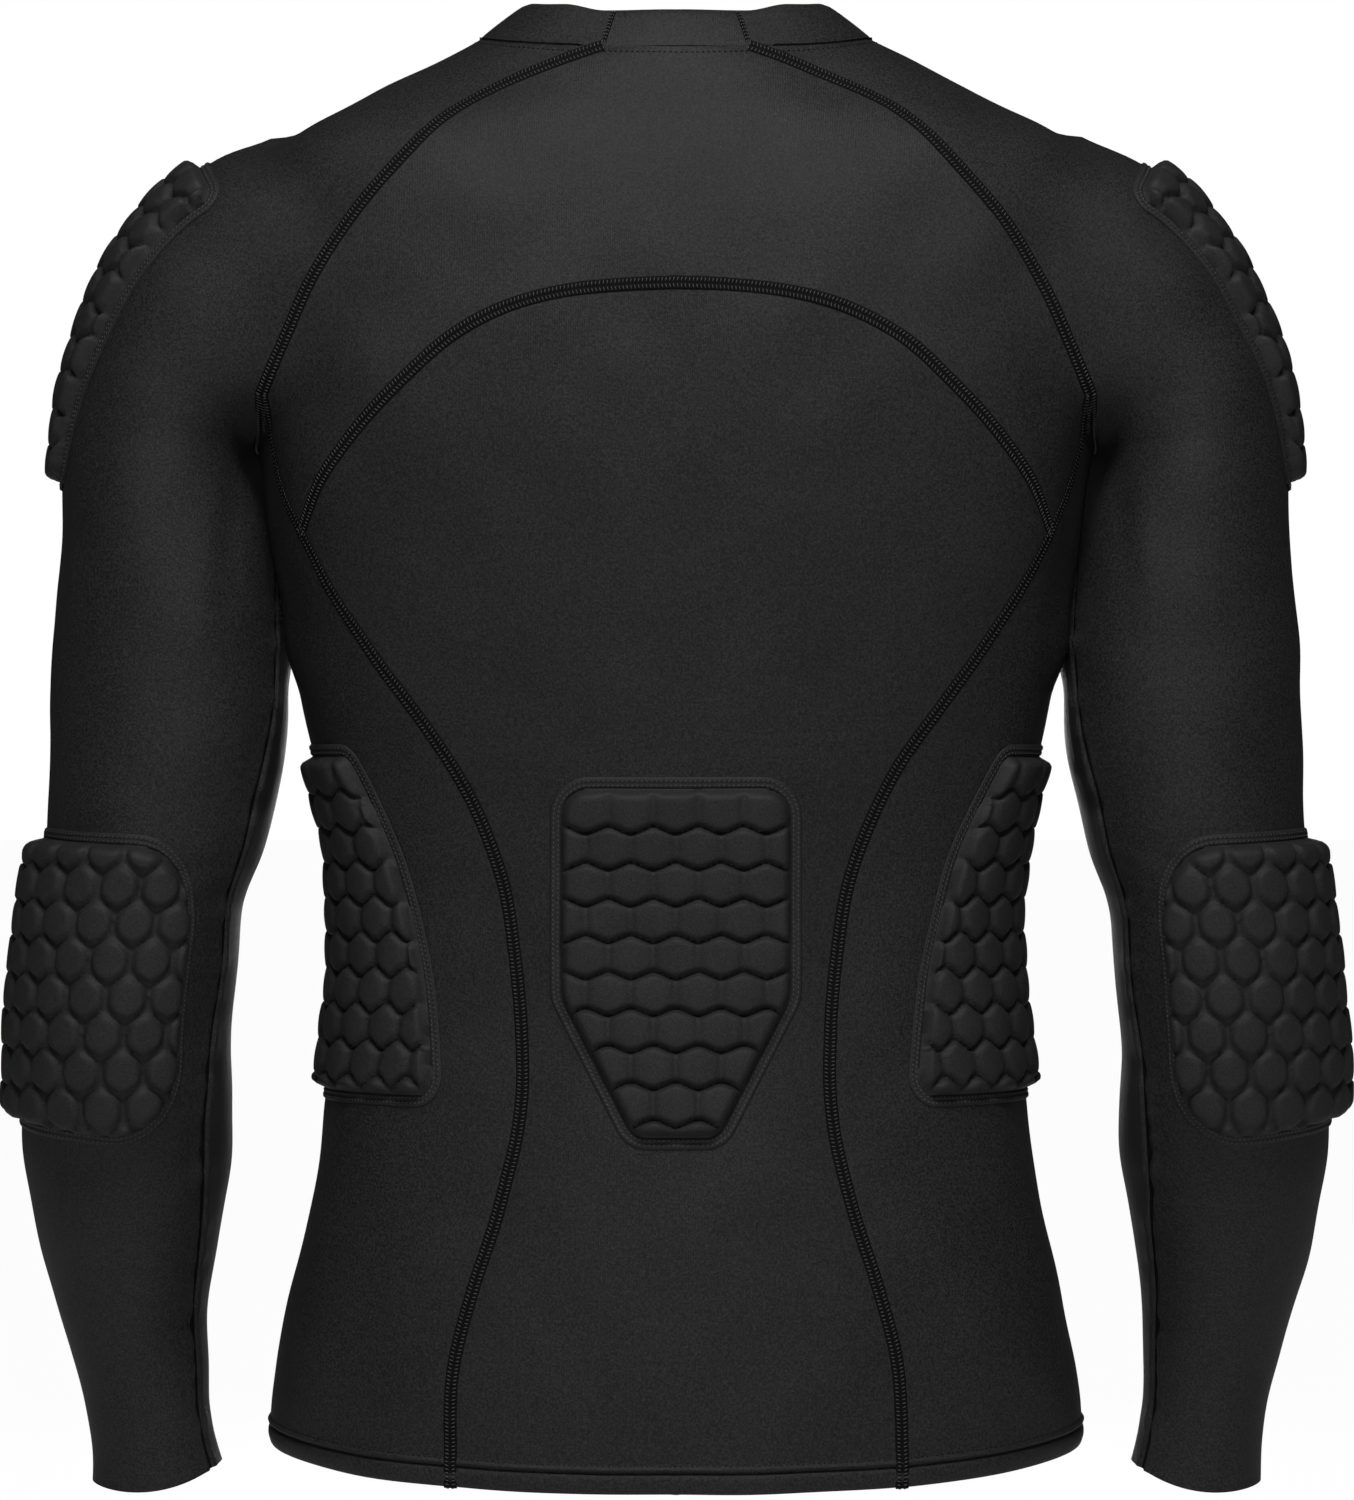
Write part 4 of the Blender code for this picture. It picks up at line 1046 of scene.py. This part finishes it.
def cell_borders(places, corners, wave, first):
    """For each place: distance to the border inside the row, to the one between rows and to the
    cell's middle, and how full the cell is."""
    outline = np.concatenate(corner_arcs(corners))
    middle = (outline[:, 0].min() + outline[:, 0].max()) / 2
    top = outline[:, 1].min()
    if wave is None:
        between, beside, centre = six_sided_cells(places, middle, top, first)
    else:
        between, beside, centre = wavy_cells(places, middle, top, first, wave)
    fullness = np.sin(centre[:, 0] * 12.9898 + centre[:, 1] * 78.233) * 0.5
    return beside, between, np.linalg.norm(places - centre, axis=1), fullness


def pad_height(places, corners, quilting):
    """Height of a quilted pad and its flange over the cloth."""
    inside = inside_distance(places, corners)
    wave, first = quilting["wave"], quilting["first"]
    beside, between, middle, fullness = cell_borders(places, corners, wave, first)
    reach = np.clip(inside / quilting["edge"], 0, 1)
    edge = np.sqrt(1 - (1 - reach) ** 2) ** 0.8
    grooves = (quilting["row_groove"] * fall(np.maximum(between, 0), quilting["row_half"])
               + quilting["cell_groove"] * fall(np.maximum(beside, 0), quilting["cell_half"]))
    deepest = max(quilting["row_groove"], quilting["cell_groove"]) + 0.6
    grooves = deepest * np.tanh(grooves / deepest)
    swell = quilting["swell"] * ((middle / CELL_PITCH * 2) ** 2 - 0.25 * fullness)
    foam = quilting["thick"] - FLANGE_THICK - grooves - swell
    rim = FLANGE_THICK * np.clip((inside + FLANGE_WIDE) / 0.8, 0, 1) ** 0.5
    return rim + foam * edge


def pad_piece(name, corners, quilting, chart, finish, mirrored=False):
    """A quilted foam pad on its stitched flange, closed below just over the cloth."""
    outline = widened(corners, FLANGE_WIDE)
    top, bottom, left, right = outline_sides(outline)
    columns = round(lengths(top)[-1] / quilting["step"]) + 8
    rows = round(lengths(left)[-1] / quilting["step"])
    across, down = np.linspace(0, 1, columns + 1), np.linspace(0, 1, rows + 1)
    flat = patch(spaced(top, across), spaced(bottom, across), spaced(left, down),
                 spaced(right, down))
    places = flat.reshape(-1, 2)
    base, normals = chart(places[:, 0], places[:, 1])
    if mirrored:
        base, normals = base * MIRROR, normals * MIRROR
    base = base + normals * folds(base)[:, None]
    height = pad_height(places, corners, quilting) + PAD_CLEAR
    upper = (base + normals * height[:, None]).reshape(flat.shape[0], flat.shape[1], 3)
    lower = (base + normals * PAD_CLEAR * 0.6).reshape(upper.shape)
    mesh = closed_mesh(f"{name}_cover", upper, lower, flat)
    piece = add_piece(f"{name}_cover", mesh, finish)
    mesh.set_sharp_from_angle(angle=math.radians(75))
    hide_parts(name)
    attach(piece, "root")
    return piece


def closed_mesh(name, upper, lower, flat):
    """One closed body between two grids that face each other."""
    places = np.r_[upper.reshape(-1, 3), lower.reshape(-1, 3)]
    index, quads = grid_quads(upper)
    ring = np.r_[index[0], index[1:, -1], index[-1, :-1][::-1], index[1:-1, 0][::-1]]
    after = np.roll(ring, -1)
    count = index.size
    walls = np.c_[ring, after, after + count, ring + count]
    faces = np.r_[quads, quads[:, ::-1] + count, walls]
    mesh = charted_mesh(name, places, faces, np.tile(flat.reshape(-1, 2), (2, 1)))
    turn_out(mesh)
    return mesh


def back_chart(across, down):
    base = onto_back(np.c_[across, BACK_PAD_TOP - down])
    return base, outward(torso_form, base)


def side_chart(across, down):
    z = SIDE_PAD_TOP - down
    turn = across / (SIDE_CENTRE_INSET + QUILTING["side"]["thick"])
    start = np.c_[TORSO.read("half_width", z) - SIDE_CENTRE_INSET, 0 * z, z]
    base = cast(torso_form, start, np.c_[np.cos(turn), np.sin(turn), 0 * turn])
    return base, outward(torso_form, base)


def elbow_chart(across, down):
    z = ELBOW_PAD_TOP - down
    radius = np.sqrt((ARM.read("half_width", z) ** 2 + ARM.read("half_depth", z) ** 2) / 2)
    turn = math.radians(ELBOW_PAD_ANGLE) + across / (radius + QUILTING["elbow"]["thick"])
    base = sleeve_ring(turn, z)
    return base, outward(arm_form, base)


def shoulder_chart(across, down):
    line = along(SHOULDER_LINE, np.linspace(0, 1, 200))
    reach = lengths(line)
    run = unit(np.gradient(line, axis=0))
    place = SHOULDER_PAD_START + down
    x, z = np.interp(place, reach, line[:, 0]), np.interp(place, reach, line[:, 1])
    run_x, run_z = np.interp(place, reach, run[:, 0]), np.interp(place, reach, run[:, 1])
    out = np.c_[-run_z, 0 * run_x, run_x]
    start = np.c_[x, 0 * x, z] - out * SHOULDER_RADIUS
    turn = across / (SHOULDER_RADIUS + QUILTING["shoulder"]["thick"])
    side = np.array([0, 1, 0])
    direction = np.cos(turn)[:, None] * out + np.sin(turn)[:, None] * side
    base = cast(whole_form, start, direction)
    return base, outward(whole_form, base)


# Flat seams and their stitching
SEAM_WIDE = 6.2
PAD_SEAM_WIDE = 4.8
INSEAM_WIDE = 2.6
SEAM_RAISE = 0.5
SEAM_GROOVE = 0.28
SEAM_STEP = 2.2
THREAD_THICK = 0.46
JOIN_WIDE = 2.4
NECK_STITCH = 3.2
INSEAM_LIFT = -1.35
PAD_LINE_STEP = 2.0

# Lines round each pad, by distance outside its foam: stitches, the seam's middle, stitches
PAD_LINES = (1.9, 3.0, 4.1)

# Stitches: each row's distance to the side and the turn of its lean, then the spacing, the length
# of a stitch, its lean in degrees and its height over the cloth
STITCHES = {
    "seam_threads": dict(rows=((-1.5, 1), (1.5, -1)), step=1.75, long=2.2, lean=76, lift=0.48),
    "pad_stitches": dict(rows=((0, 1),), step=2.2, long=1.3, lean=35, lift=0.45),
    "hem_stitches": dict(rows=((0, 1),), step=2.5, long=1.5, lean=0, lift=0.1),
    "neck_stitches": dict(rows=((0, 1),), step=2.5, long=1.5, lean=0, lift=0.1),
    "neckband_join_stitches": dict(rows=((-0.5, 1), (0.6, -1)), step=1.9, long=1.5, lean=40,
                                   lift=0.45),
}


class Path:
    """A line on the cloth, with the direction that points straight out of it at each place."""

    def __init__(self, plain, out, closed=False, lift=0.0):
        self.plain = plain
        self.out = out
        self.closed = closed
        self.lift = lift
        self.places = plain + out * (folds(plain) + lift)[:, None]

    def mirrored(self):
        return Path(self.plain * MIRROR, self.out * MIRROR, self.closed, self.lift)

    def directions(self):
        if self.closed:
            run = np.roll(self.places, -1, axis=0) - np.roll(self.places, 1, axis=0)
        else:
            run = np.gradient(self.places, axis=0)
        return unit(run)


def path_along(places, form=None, closed=False, lift=0.0, to_hem=False):
    """An evenly stepped path through places on the plain form, if need be over the hem."""
    if closed:
        places = np.r_[places, places[:1]]
    count = max(4, round(lengths(places)[-1] / SEAM_STEP))
    places = spaced(places, np.linspace(0, 1, count + 1))
    if closed:
        places = places[:-1]
    if to_hem:
        lift = lift + hem_rise(places[:, 2] - hem_height(places))
    return Path(places, outward(form or whole_form, places), closed, lift)


def both_sides(paths):
    return [side for path in paths for side in (path, path.mirrored())]


def seam_profile(wide):
    """Cross section of a flat seam: distance across and height, round the closed section."""
    half = wide / 2
    top = [(-half, 0.05), (-half + 0.25, SEAM_RAISE * 0.8), (-half * 0.55, SEAM_RAISE),
           (-0.45, SEAM_RAISE * 0.95), (0.0, SEAM_RAISE - SEAM_GROOVE), (0.45, SEAM_RAISE * 0.95),
           (half * 0.55, SEAM_RAISE), (half - 0.25, SEAM_RAISE * 0.8), (half, 0.05)]
    return np.array(top + [(half * 0.4, -0.12), (-half * 0.4, -0.12)])


def seam_band(name, paths, finish, wide):
    """The raised bands of the flat seams, as closed strips."""
    profile = seam_profile(wide)
    size = len(profile)
    places, faces = [], []
    for path in paths:
        first = len(places)
        across = np.cross(path.out, path.directions())
        rings = (path.places[:, None] + across[:, None] * profile[None, :, :1]
                 + path.out[:, None] * profile[None, :, 1:])
        count = len(rings)
        places.extend((rings.reshape(-1, 3) * MM).tolist())
        for i in range(count if path.closed else count - 1):
            here, there = first + i * size, first + (i + 1) % count * size
            faces.extend([here + k, here + (k + 1) % size, there + (k + 1) % size, there + k]
                         for k in range(size))
        if not path.closed:
            faces.append([first + k for k in range(size)][::-1])
            faces.append([first + (count - 1) * size + k for k in range(size)])
    mesh = bpy.data.meshes.new(name)
    mesh.from_pydata(places, [], faces)
    turn_out(mesh)
    piece = add_piece(name, mesh, finish)
    mesh.set_sharp_from_angle(angle=math.radians(60))
    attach(piece, "root")
    return piece


def path_mesh(name, paths):
    """Paths as bare edges that carry their outward direction, for the stitching to follow."""
    places, edges, outs = [], [], []
    for path in paths:
        first, count = len(places), len(path.places)
        places.extend((path.places * MM).tolist())
        outs.append(path.out)
        edges.extend([first + i, first + i + 1] for i in range(count - 1))
        if path.closed:
            edges.append([first + count - 1, first])
    mesh = bpy.data.meshes.new(name)
    mesh.from_pydata(places, edges, [])
    layer = mesh.attributes.new("out", "FLOAT_VECTOR", "POINT")
    layer.data.foreach_set("vector", np.concatenate(outs).astype(np.float32).ravel())
    return mesh


class Amount:
    """A number that varies over a surface. Sums written on it become Math nodes."""

    def __init__(self, nodes, socket):
        self.nodes = nodes
        self.socket = socket

    def math(self, operation, first, second):
        node = self.nodes.node("ShaderNodeMath", {0: first, 1: second}, operation=operation)
        return Amount(self.nodes, node.outputs[0])

    def __add__(self, other):
        return self.math("ADD", self, other)

    def __radd__(self, other):
        return self.math("ADD", other, self)

    def __sub__(self, other):
        return self.math("SUBTRACT", self, other)

    def __rsub__(self, other):
        return self.math("SUBTRACT", other, self)

    def __mul__(self, other):
        return self.math("MULTIPLY", self, other)

    def __rmul__(self, other):
        return self.math("MULTIPLY", other, self)


class Nodes:
    """A node tree under construction."""

    def __init__(self, tree):
        self.tree = tree

    def node(self, kind, values=(), **settings):
        """Adds a node: settings first, then a number or a link for each named input."""
        node = self.tree.nodes.new(kind)
        for setting, value in settings.items():
            setattr(node, setting, value)
        for key, value in dict(values).items():
            self.join(value, node.inputs[key])
        return node

    def join(self, value, socket):
        if isinstance(value, Amount):
            value = value.socket
        if isinstance(value, bpy.types.NodeSocket):
            self.tree.links.new(value, socket)
        else:
            socket.default_value = value


class Tree(Nodes):
    """A Geometry Nodes tree, with named inputs."""

    def __init__(self, name):
        super().__init__(bpy.data.node_groups.new(name, "GeometryNodeTree"))
        self.start = self.node("NodeGroupInput")
        self.geometry = self.size("Geometry", "NodeSocketGeometry")

    def size(self, name, kind="NodeSocketFloat"):
        self.tree.interface.new_socket(name, in_out="INPUT", socket_type=kind)
        return self.start.outputs[name]

    def finish(self, geometry):
        kind = "NodeSocketGeometry"
        self.tree.interface.new_socket("Geometry", in_out="OUTPUT", socket_type=kind)
        self.node("NodeGroupOutput", {0: geometry})
        return self.tree


def stitch_tree():
    """Thread stitches laid along a path, each turned to the cloth it lies on."""
    tree = Tree("Stitches along a path")
    step = tree.size("Stitch spacing")
    long = tree.size("Stitch length")
    thick = tree.size("Thread thickness")
    side = tree.size("Distance to the side")
    lift = tree.size("Height over the cloth")
    lean = tree.size("Lean of the stitch")
    thread = tree.size("Thread", "NodeSocketMaterial")
    line = tree.node("GeometryNodeMeshToCurve", {0: tree.geometry})
    line = tree.node("GeometryNodeResampleCurve", {"Curve": line.outputs[0], "Length": step},
                     mode="LENGTH")
    bead = tree.node("GeometryNodeMeshIcoSphere", {"Radius": 0.5, "Subdivisions": 1})
    size = tree.node("ShaderNodeCombineXYZ", {0: long, 1: thick, 2: thick})
    bead = tree.node("GeometryNodeTransform",
                     {"Geometry": bead.outputs[0], "Scale": size.outputs[0]})
    run = tree.node("GeometryNodeInputTangent")
    out = tree.node("GeometryNodeInputNamedAttribute", {"Name": "out"}, data_type="FLOAT_VECTOR")
    facing = tree.node("FunctionNodeAxesToRotation",
                       {"Primary Axis": out.outputs[0], "Secondary Axis": run.outputs[0]},
                       primary_axis="Z", secondary_axis="X")
    laid = tree.node("GeometryNodeInstanceOnPoints",
                     {"Points": line.outputs[0], "Instance": bead.outputs[0],
                      "Rotation": facing.outputs[0]})
    place = tree.node("ShaderNodeCombineXYZ", {1: side, 2: lift})
    laid = tree.node("GeometryNodeTranslateInstances",
                     {"Instances": laid.outputs[0], "Translation": place.outputs[0]})
    turn = tree.node("ShaderNodeCombineXYZ", {2: lean})
    laid = tree.node("GeometryNodeRotateInstances",
                     {"Instances": laid.outputs[0], "Rotation": turn.outputs[0]})
    laid = tree.node("GeometryNodeRealizeInstances", {0: laid.outputs[0]})
    laid = tree.node("GeometryNodeSetMaterial", {"Geometry": laid.outputs[0], "Material": thread})
    return tree.finish(laid.outputs[0])


def stitch_row(name, tree, paths, thread):
    """Rows of stitches beside the same paths, joined into one piece."""
    stitch = STITCHES[name]
    meshes = []
    for side, turn in stitch["rows"]:
        carrier = placed(name, path_mesh(name, paths))
        stitches = carrier.modifiers.new("stitches", "NODES")
        stitches.node_group = tree
        sizes = {"Stitch spacing": stitch["step"] * MM, "Stitch length": stitch["long"] * MM,
                 "Thread thickness": THREAD_THICK * MM, "Distance to the side": side * MM,
                 "Height over the cloth": stitch["lift"] * MM,
                 "Lean of the stitch": turn * math.radians(stitch["lean"]), "Thread": thread}
        for size, value in sizes.items():
            stitches[tree.interface.items_tree[size].identifier] = value
        settled(carrier)
        meshes.append(carrier.data)
        bpy.data.objects.remove(carrier)
    bm = bmesh.new()
    for mesh in meshes:
        bm.from_mesh(mesh)
        bpy.data.meshes.remove(mesh)
    joined = bpy.data.meshes.new(name)
    bm.to_mesh(joined)
    bm.free()
    piece = add_piece(name, joined, thread)
    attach(piece, "root")
    return piece


class Finish(Nodes):
    """A material under construction, with constant values for sockets of its shader."""

    def __init__(self, name, constants):
        self.material = bpy.data.materials.new(name)
        self.material.use_nodes = True
        super().__init__(self.material.node_tree)
        self.shader = self.tree.nodes["Principled BSDF"]
        for socket, value in constants.items():
            self.shader.inputs[socket].default_value = value

    def speckle(self, size, detail=2.0, rough=0.5):
        """Cloudy unevenness whose patches measure size in millimetres."""
        place = self.node("ShaderNodeTexCoord").outputs["Object"]
        node = self.node("ShaderNodeTexNoise", {"Vector": place, "Scale": 1 / (size * MM),
                                                "Detail": detail, "Roughness": rough})
        return Amount(self, node.outputs["Fac"])

    def ribs(self, size, direction, wobble):
        """Fine ribs that follow the cloth, size millimetres apart."""
        place = self.node("ShaderNodeTexCoord").outputs["UV"]
        node = self.node("ShaderNodeTexWave",
                         {"Vector": place, "Scale": 0.314 / (size * MM), "Distortion": wobble,
                          "Detail": 1.0}, bands_direction=direction)
        return Amount(self, node.outputs["Fac"])

    def colour(self, amount, dark, light):
        node = self.node("ShaderNodeMix", {0: amount, 6: dark, 7: light}, data_type="RGBA")
        self.join(node.outputs[2], self.shader.inputs["Base Color"])

    def relief(self, height, depth):
        """Bump of a height from 0 to 1 that stands for depth millimetres."""
        node = self.node("ShaderNodeBump", {"Height": height, "Distance": depth * MM,
                                            "Strength": 1.0})
        self.join(node.outputs[0], self.shader.inputs["Normal"])


def grey(level):
    return (level, level, level, 1)


def knit_finish():
    """Black stretch knit with a soft sheen and fine light specks."""
    finish = Finish("black_stretch_knit", {"Specular IOR Level": 0.3, "IOR": 1.4})
    specks = finish.speckle(1.0, detail=3.0, rough=0.75)
    clouds = finish.speckle(38.0)
    wales = finish.ribs(0.8, "X", 0.6)
    courses = finish.ribs(0.6, "Y", 0.6)
    amount = (specks - 0.5) * 3.6 + 0.42 + (clouds - 0.5) * 0.3
    finish.colour(amount, grey(0.006), grey(0.03))
    finish.join(0.42 + specks * 0.24, finish.shader.inputs["Roughness"])
    finish.relief(wales * 0.35 + courses * 0.25 + specks * 1.2, 0.16)
    return finish.material


def pad_finish():
    """Matt black cover of the foam pads."""
    finish = Finish("black_pad_cover", {"Specular IOR Level": 0.3, "IOR": 1.4})
    specks = finish.speckle(0.7, detail=3.0, rough=0.75)
    clouds = finish.speckle(14.0)
    amount = (specks - 0.5) * 2.4 + 0.42 + (clouds - 0.5) * 0.3
    finish.colour(amount, grey(0.008), grey(0.034))
    finish.join(0.55 + specks * 0.16, finish.shader.inputs["Roughness"])
    finish.relief(specks * 0.8 + finish.speckle(2.4) * 0.6, 0.1)
    return finish.material


def seam_finish():
    """The thread-covered band of a flat seam."""
    finish = Finish("black_seam_band", {"Roughness": 0.8, "Specular IOR Level": 0.08})
    specks = finish.speckle(0.55, detail=2.0, rough=0.7)
    finish.colour(specks, grey(0.0015), grey(0.008))
    finish.relief(specks, 0.2)
    return finish.material


def thread_finish():
    """Twisted black sewing thread."""
    finish = Finish("black_thread", {"Roughness": 0.5, "Specular IOR Level": 0.5})
    finish.colour(finish.speckle(1.6), grey(0.03), grey(0.1))
    return finish.material


def build_cloth(seams, knit):
    cloth_piece("back_yoke", yoke_grid(seams), knit)
    cloth_piece("back_panel", back_grid(seams), knit)
    cloth_piece("front_panel", front_grid(seams), knit)
    for name, shape in {"side_panel": side_shape(seams), "sleeve": sleeve_shape(seams)}.items():
        for hand in ("left", "right"):
            cloth_piece(f"{name}_{hand}", dress(*shape, mirrored=hand == "right"), knit)


def build_neckband(seams, knit):
    back = over_middle(seams.neck_back)
    left = np.r_[seams.neck_side, seams.neck_front[::-1][1:]]
    around = np.r_[left, left[::-1][1:] * MIRROR]
    for name, places in {"neckband_back": back, "neckband_round": around}.items():
        angles = np.degrees(np.unwrap(np.radians(plan_angles(places))))
        cloth_piece(name, band_grid(places, angles), knit, thick=BAND_THICK, form=neck_form)


def neck_form(points):
    """Distance from the upright axis of the neck, for turning the band's faces out."""
    return np.hypot(points[:, 0], points[:, 1] - NECK_AXIS_Y)


def build_pads(cover):
    pad_piece("back_pad", BACK_PAD, QUILTING["back"], back_chart, cover)
    paired = {"shoulder": (SHOULDER_PAD, shoulder_chart), "elbow": (ELBOW_PAD, elbow_chart),
              "side": (SIDE_PAD, side_chart)}
    for kind, (corners, chart) in paired.items():
        for hand in ("left", "right"):
            pad_piece(f"{kind}_pad_{hand}", corners, QUILTING[kind], chart, cover, hand == "right")


def seam_paths(seams):
    """The flat seams that join the panels."""
    raglan_back = path_along(seams.raglan_back)
    raglan_front = path_along(seams.raglan_front)
    long_back = path_along(np.r_[seams.side_back, seams.long_back[1:]], to_hem=True)
    long_front = path_along(np.r_[seams.side_front, seams.long_front[1:]], to_hem=True)
    arch = path_along(over_middle(onto_back(seams.arch_flat)))
    underarm = path_along(seams.underarm)
    return both_sides([raglan_back, raglan_front, long_back, long_front, underarm]) + [arch]


def pad_path(corners, chart, distance):
    """The line round a pad, a distance outside its foam, on its flange."""
    loop = np.concatenate(corner_arcs(widened(corners, distance)))
    loop = np.r_[loop, loop[:1]]
    count = round(lengths(loop)[-1] / PAD_LINE_STEP)
    loop = spaced(loop, np.linspace(0, 1, count + 1))[:-1]
    base, out = chart(loop[:, 0], loop[:, 1])
    return Path(base, out, closed=True, lift=PAD_CLEAR + FLANGE_THICK)


def build_stitching(seams, cover, band, thread):
    tree = stitch_tree()
    flat_seams = seam_paths(seams)
    seam_band("seam_bands", flat_seams, band, SEAM_WIDE)
    stitch_row("seam_threads", tree, flat_seams, thread)
    seam_band("inseam_bands", both_sides([inseam_path()]), band, INSEAM_WIDE)
    loops, flanges = [], []
    for corners, chart, paired in ((BACK_PAD, back_chart, False), (ELBOW_PAD, elbow_chart, True),
                                   (SIDE_PAD, side_chart, True),
                                   (SHOULDER_PAD, shoulder_chart, True)):
        for distance, group in zip(PAD_LINES, (loops, flanges, loops)):
            path = pad_path(corners, chart, distance)
            group += both_sides([path]) if paired else [path]
    seam_band("pad_seam_bands", flanges, cover, PAD_SEAM_WIDE)
    stitch_row("pad_stitches", tree, loops, thread)
    stitch_row("hem_stitches", tree, [hem_path()], band)
    stitch_row("neck_stitches", tree, [neck_path(seams)], band)
    joins = band_joins(seams)
    seam_band("neckband_join_bands", joins, band, JOIN_WIDE)
    stitch_row("neckband_join_stitches", tree, joins, thread)


def inseam_path():
    """The sunken line of the sleeve's long seam, from the underarm to the cuff."""
    z = np.linspace(UNDERARM_LOW_Z - 14, CUFF_Z, 220)
    turn = np.radians(INSEAM.read("angle", z))
    z = z + (cuff_height(turn) - z[-1]) * (z - z[0]) / (z[-1] - z[0])
    return path_along(sleeve_ring(turn, z), form=arm_form, lift=INSEAM_LIFT)


def band_joins(seams):
    """The two short seams across the neckband, at the back."""
    places = over_middle(seams.neck_back)
    grid = band_grid(places, plan_angles(places))[::-1]
    joins = []
    for edge, beside in ((0, 1), (-1, -2)):
        line = grid[1:-1, edge]
        out = unit(np.cross(grid[1:-1, beside] - line, np.gradient(line, axis=0)))
        out *= np.sign(out[:, 1:2])
        joins.append(Path(line, out, lift=-folds(line)))
    return joins


def hem_path():
    """The stitch line of the hem, all round the shirt."""
    turns = np.linspace(0, 2 * np.pi, 241)[:-1]
    low = lay_round(np.c_[turns, 0 * turns + SIDE_HEM_Z])
    line = lay_round(np.c_[turns, hem_height(low) + HEM_STITCH])
    return path_along(line, form=torso_form, closed=True)


def neck_path(seams):
    """The stitch line just below the neckband."""
    left = np.r_[seams.neck_back, seams.neck_side[1:], seams.neck_front[::-1][1:]]
    loop = np.r_[left, left[::-1][1:-1] * MIRROR]
    out = outward(whole_form, loop)
    run = unit(np.roll(loop, -1, axis=0) - np.roll(loop, 1, axis=0))
    down = np.cross(out, run)
    down *= -np.sign(down[:, 2:])
    return path_along(loop + down * NECK_STITCH, closed=True)


def add_light(name, place, aim, power, wide, high):
    light = bpy.data.lights.new(name, "AREA")
    light.shape = "RECTANGLE"
    light.energy = power
    light.size = wide
    light.size_y = high
    lamp = placed(name, light)
    lamp.location = place
    lamp.rotation_euler = (Vector(aim) - Vector(place)).to_track_quat("-Z", "Y").to_euler()


# Camera and studio, in metres
CAMERA_PLACE = (-0.0005, 2.2, -0.331)
VIEW_TALL = 0.705
FLOOR_Z = -0.95
FLOOR_SIZE = 30.0
FLOOR_GLOW = 0.97
WORLD_LIGHT = 0.04

# Soft lights: name, place, aim, power, width and height
LIGHTS = [
    ("left_back_light", (0.3, 1.25, 1.3), (0, 0, -0.4), 17, 0.45, 0.45),
    ("right_back_light", (-0.3, 1.25, 1.3), (0, 0, -0.4), 17, 0.45, 0.45),
    ("front_light", (0, -2.2, -0.1), (0, 0, -0.33), 21, 1.2, 0.8),
    ("low_back_light", (0, 1.7, -0.75), (0, 0, -0.62), 3, 0.7, 0.3),
]


def build_camera():
    lens = bpy.data.cameras.new("camera")
    lens.sensor_width = 36.0
    lens.lens = lens.sensor_width * CAMERA_PLACE[1] / VIEW_TALL
    camera = placed("camera", lens)
    camera.location = CAMERA_PLACE
    camera.rotation_euler = (math.radians(90), 0, math.radians(180))
    bpy.context.scene.camera = camera


def floor_finish():
    """Pale matt floor that the camera sees almost as white as the surroundings."""
    finish = Finish("pale_floor", {"Base Color": grey(0.88), "Roughness": 0.9})
    glow = finish.node("ShaderNodeEmission", {"Color": grey(1), "Strength": 1.0})
    ray = finish.node("ShaderNodeLightPath")
    share = FLOOR_GLOW * Amount(finish, ray.outputs["Is Camera Ray"])
    mix = finish.node("ShaderNodeMixShader",
                      {0: share, 1: finish.shader.outputs[0], 2: glow.outputs[0]})
    finish.join(mix.outputs[0], finish.tree.nodes["Material Output"].inputs["Surface"])
    return finish.material


def build_floor():
    mesh = bpy.data.meshes.new("floor")
    bm = bmesh.new()
    bmesh.ops.create_grid(bm, x_segments=1, y_segments=1, size=FLOOR_SIZE)
    bmesh.ops.translate(bm, verts=bm.verts, vec=(0, 0, FLOOR_Z))
    bm.to_mesh(mesh)
    bm.free()
    mesh.materials.append(floor_finish())
    floor = placed("floor", mesh)


def build_world():
    """White to the camera, and a faint even light for all else."""
    world = bpy.data.worlds.new("studio")
    world.use_nodes = True
    bpy.context.scene.world = world
    nodes = Nodes(world.node_tree)
    ray = nodes.node("ShaderNodeLightPath")
    strength = nodes.node("ShaderNodeMapRange", {"Value": ray.outputs["Is Camera Ray"],
                                                 "To Min": WORLD_LIGHT, "To Max": 1.0})
    plain = world.node_tree.nodes["Background"]
    nodes.join(grey(1), plain.inputs["Color"])
    nodes.join(strength.outputs["Result"], plain.inputs["Strength"])


def build_studio():
    """Plain pale floor and surroundings, and four soft lights."""
    build_floor()
    for light in LIGHTS:
        add_light(*light)
    build_world()
    bpy.context.scene.view_settings.view_transform = "Standard"


def main():
    build_camera()
    build_studio()
    seams = Seams()
    knit, cover = knit_finish(), pad_finish()
    build_cloth(seams, knit)
    build_neckband(seams, knit)
    build_pads(cover)
    build_stitching(seams, cover, seam_finish(), thread_finish())


main()
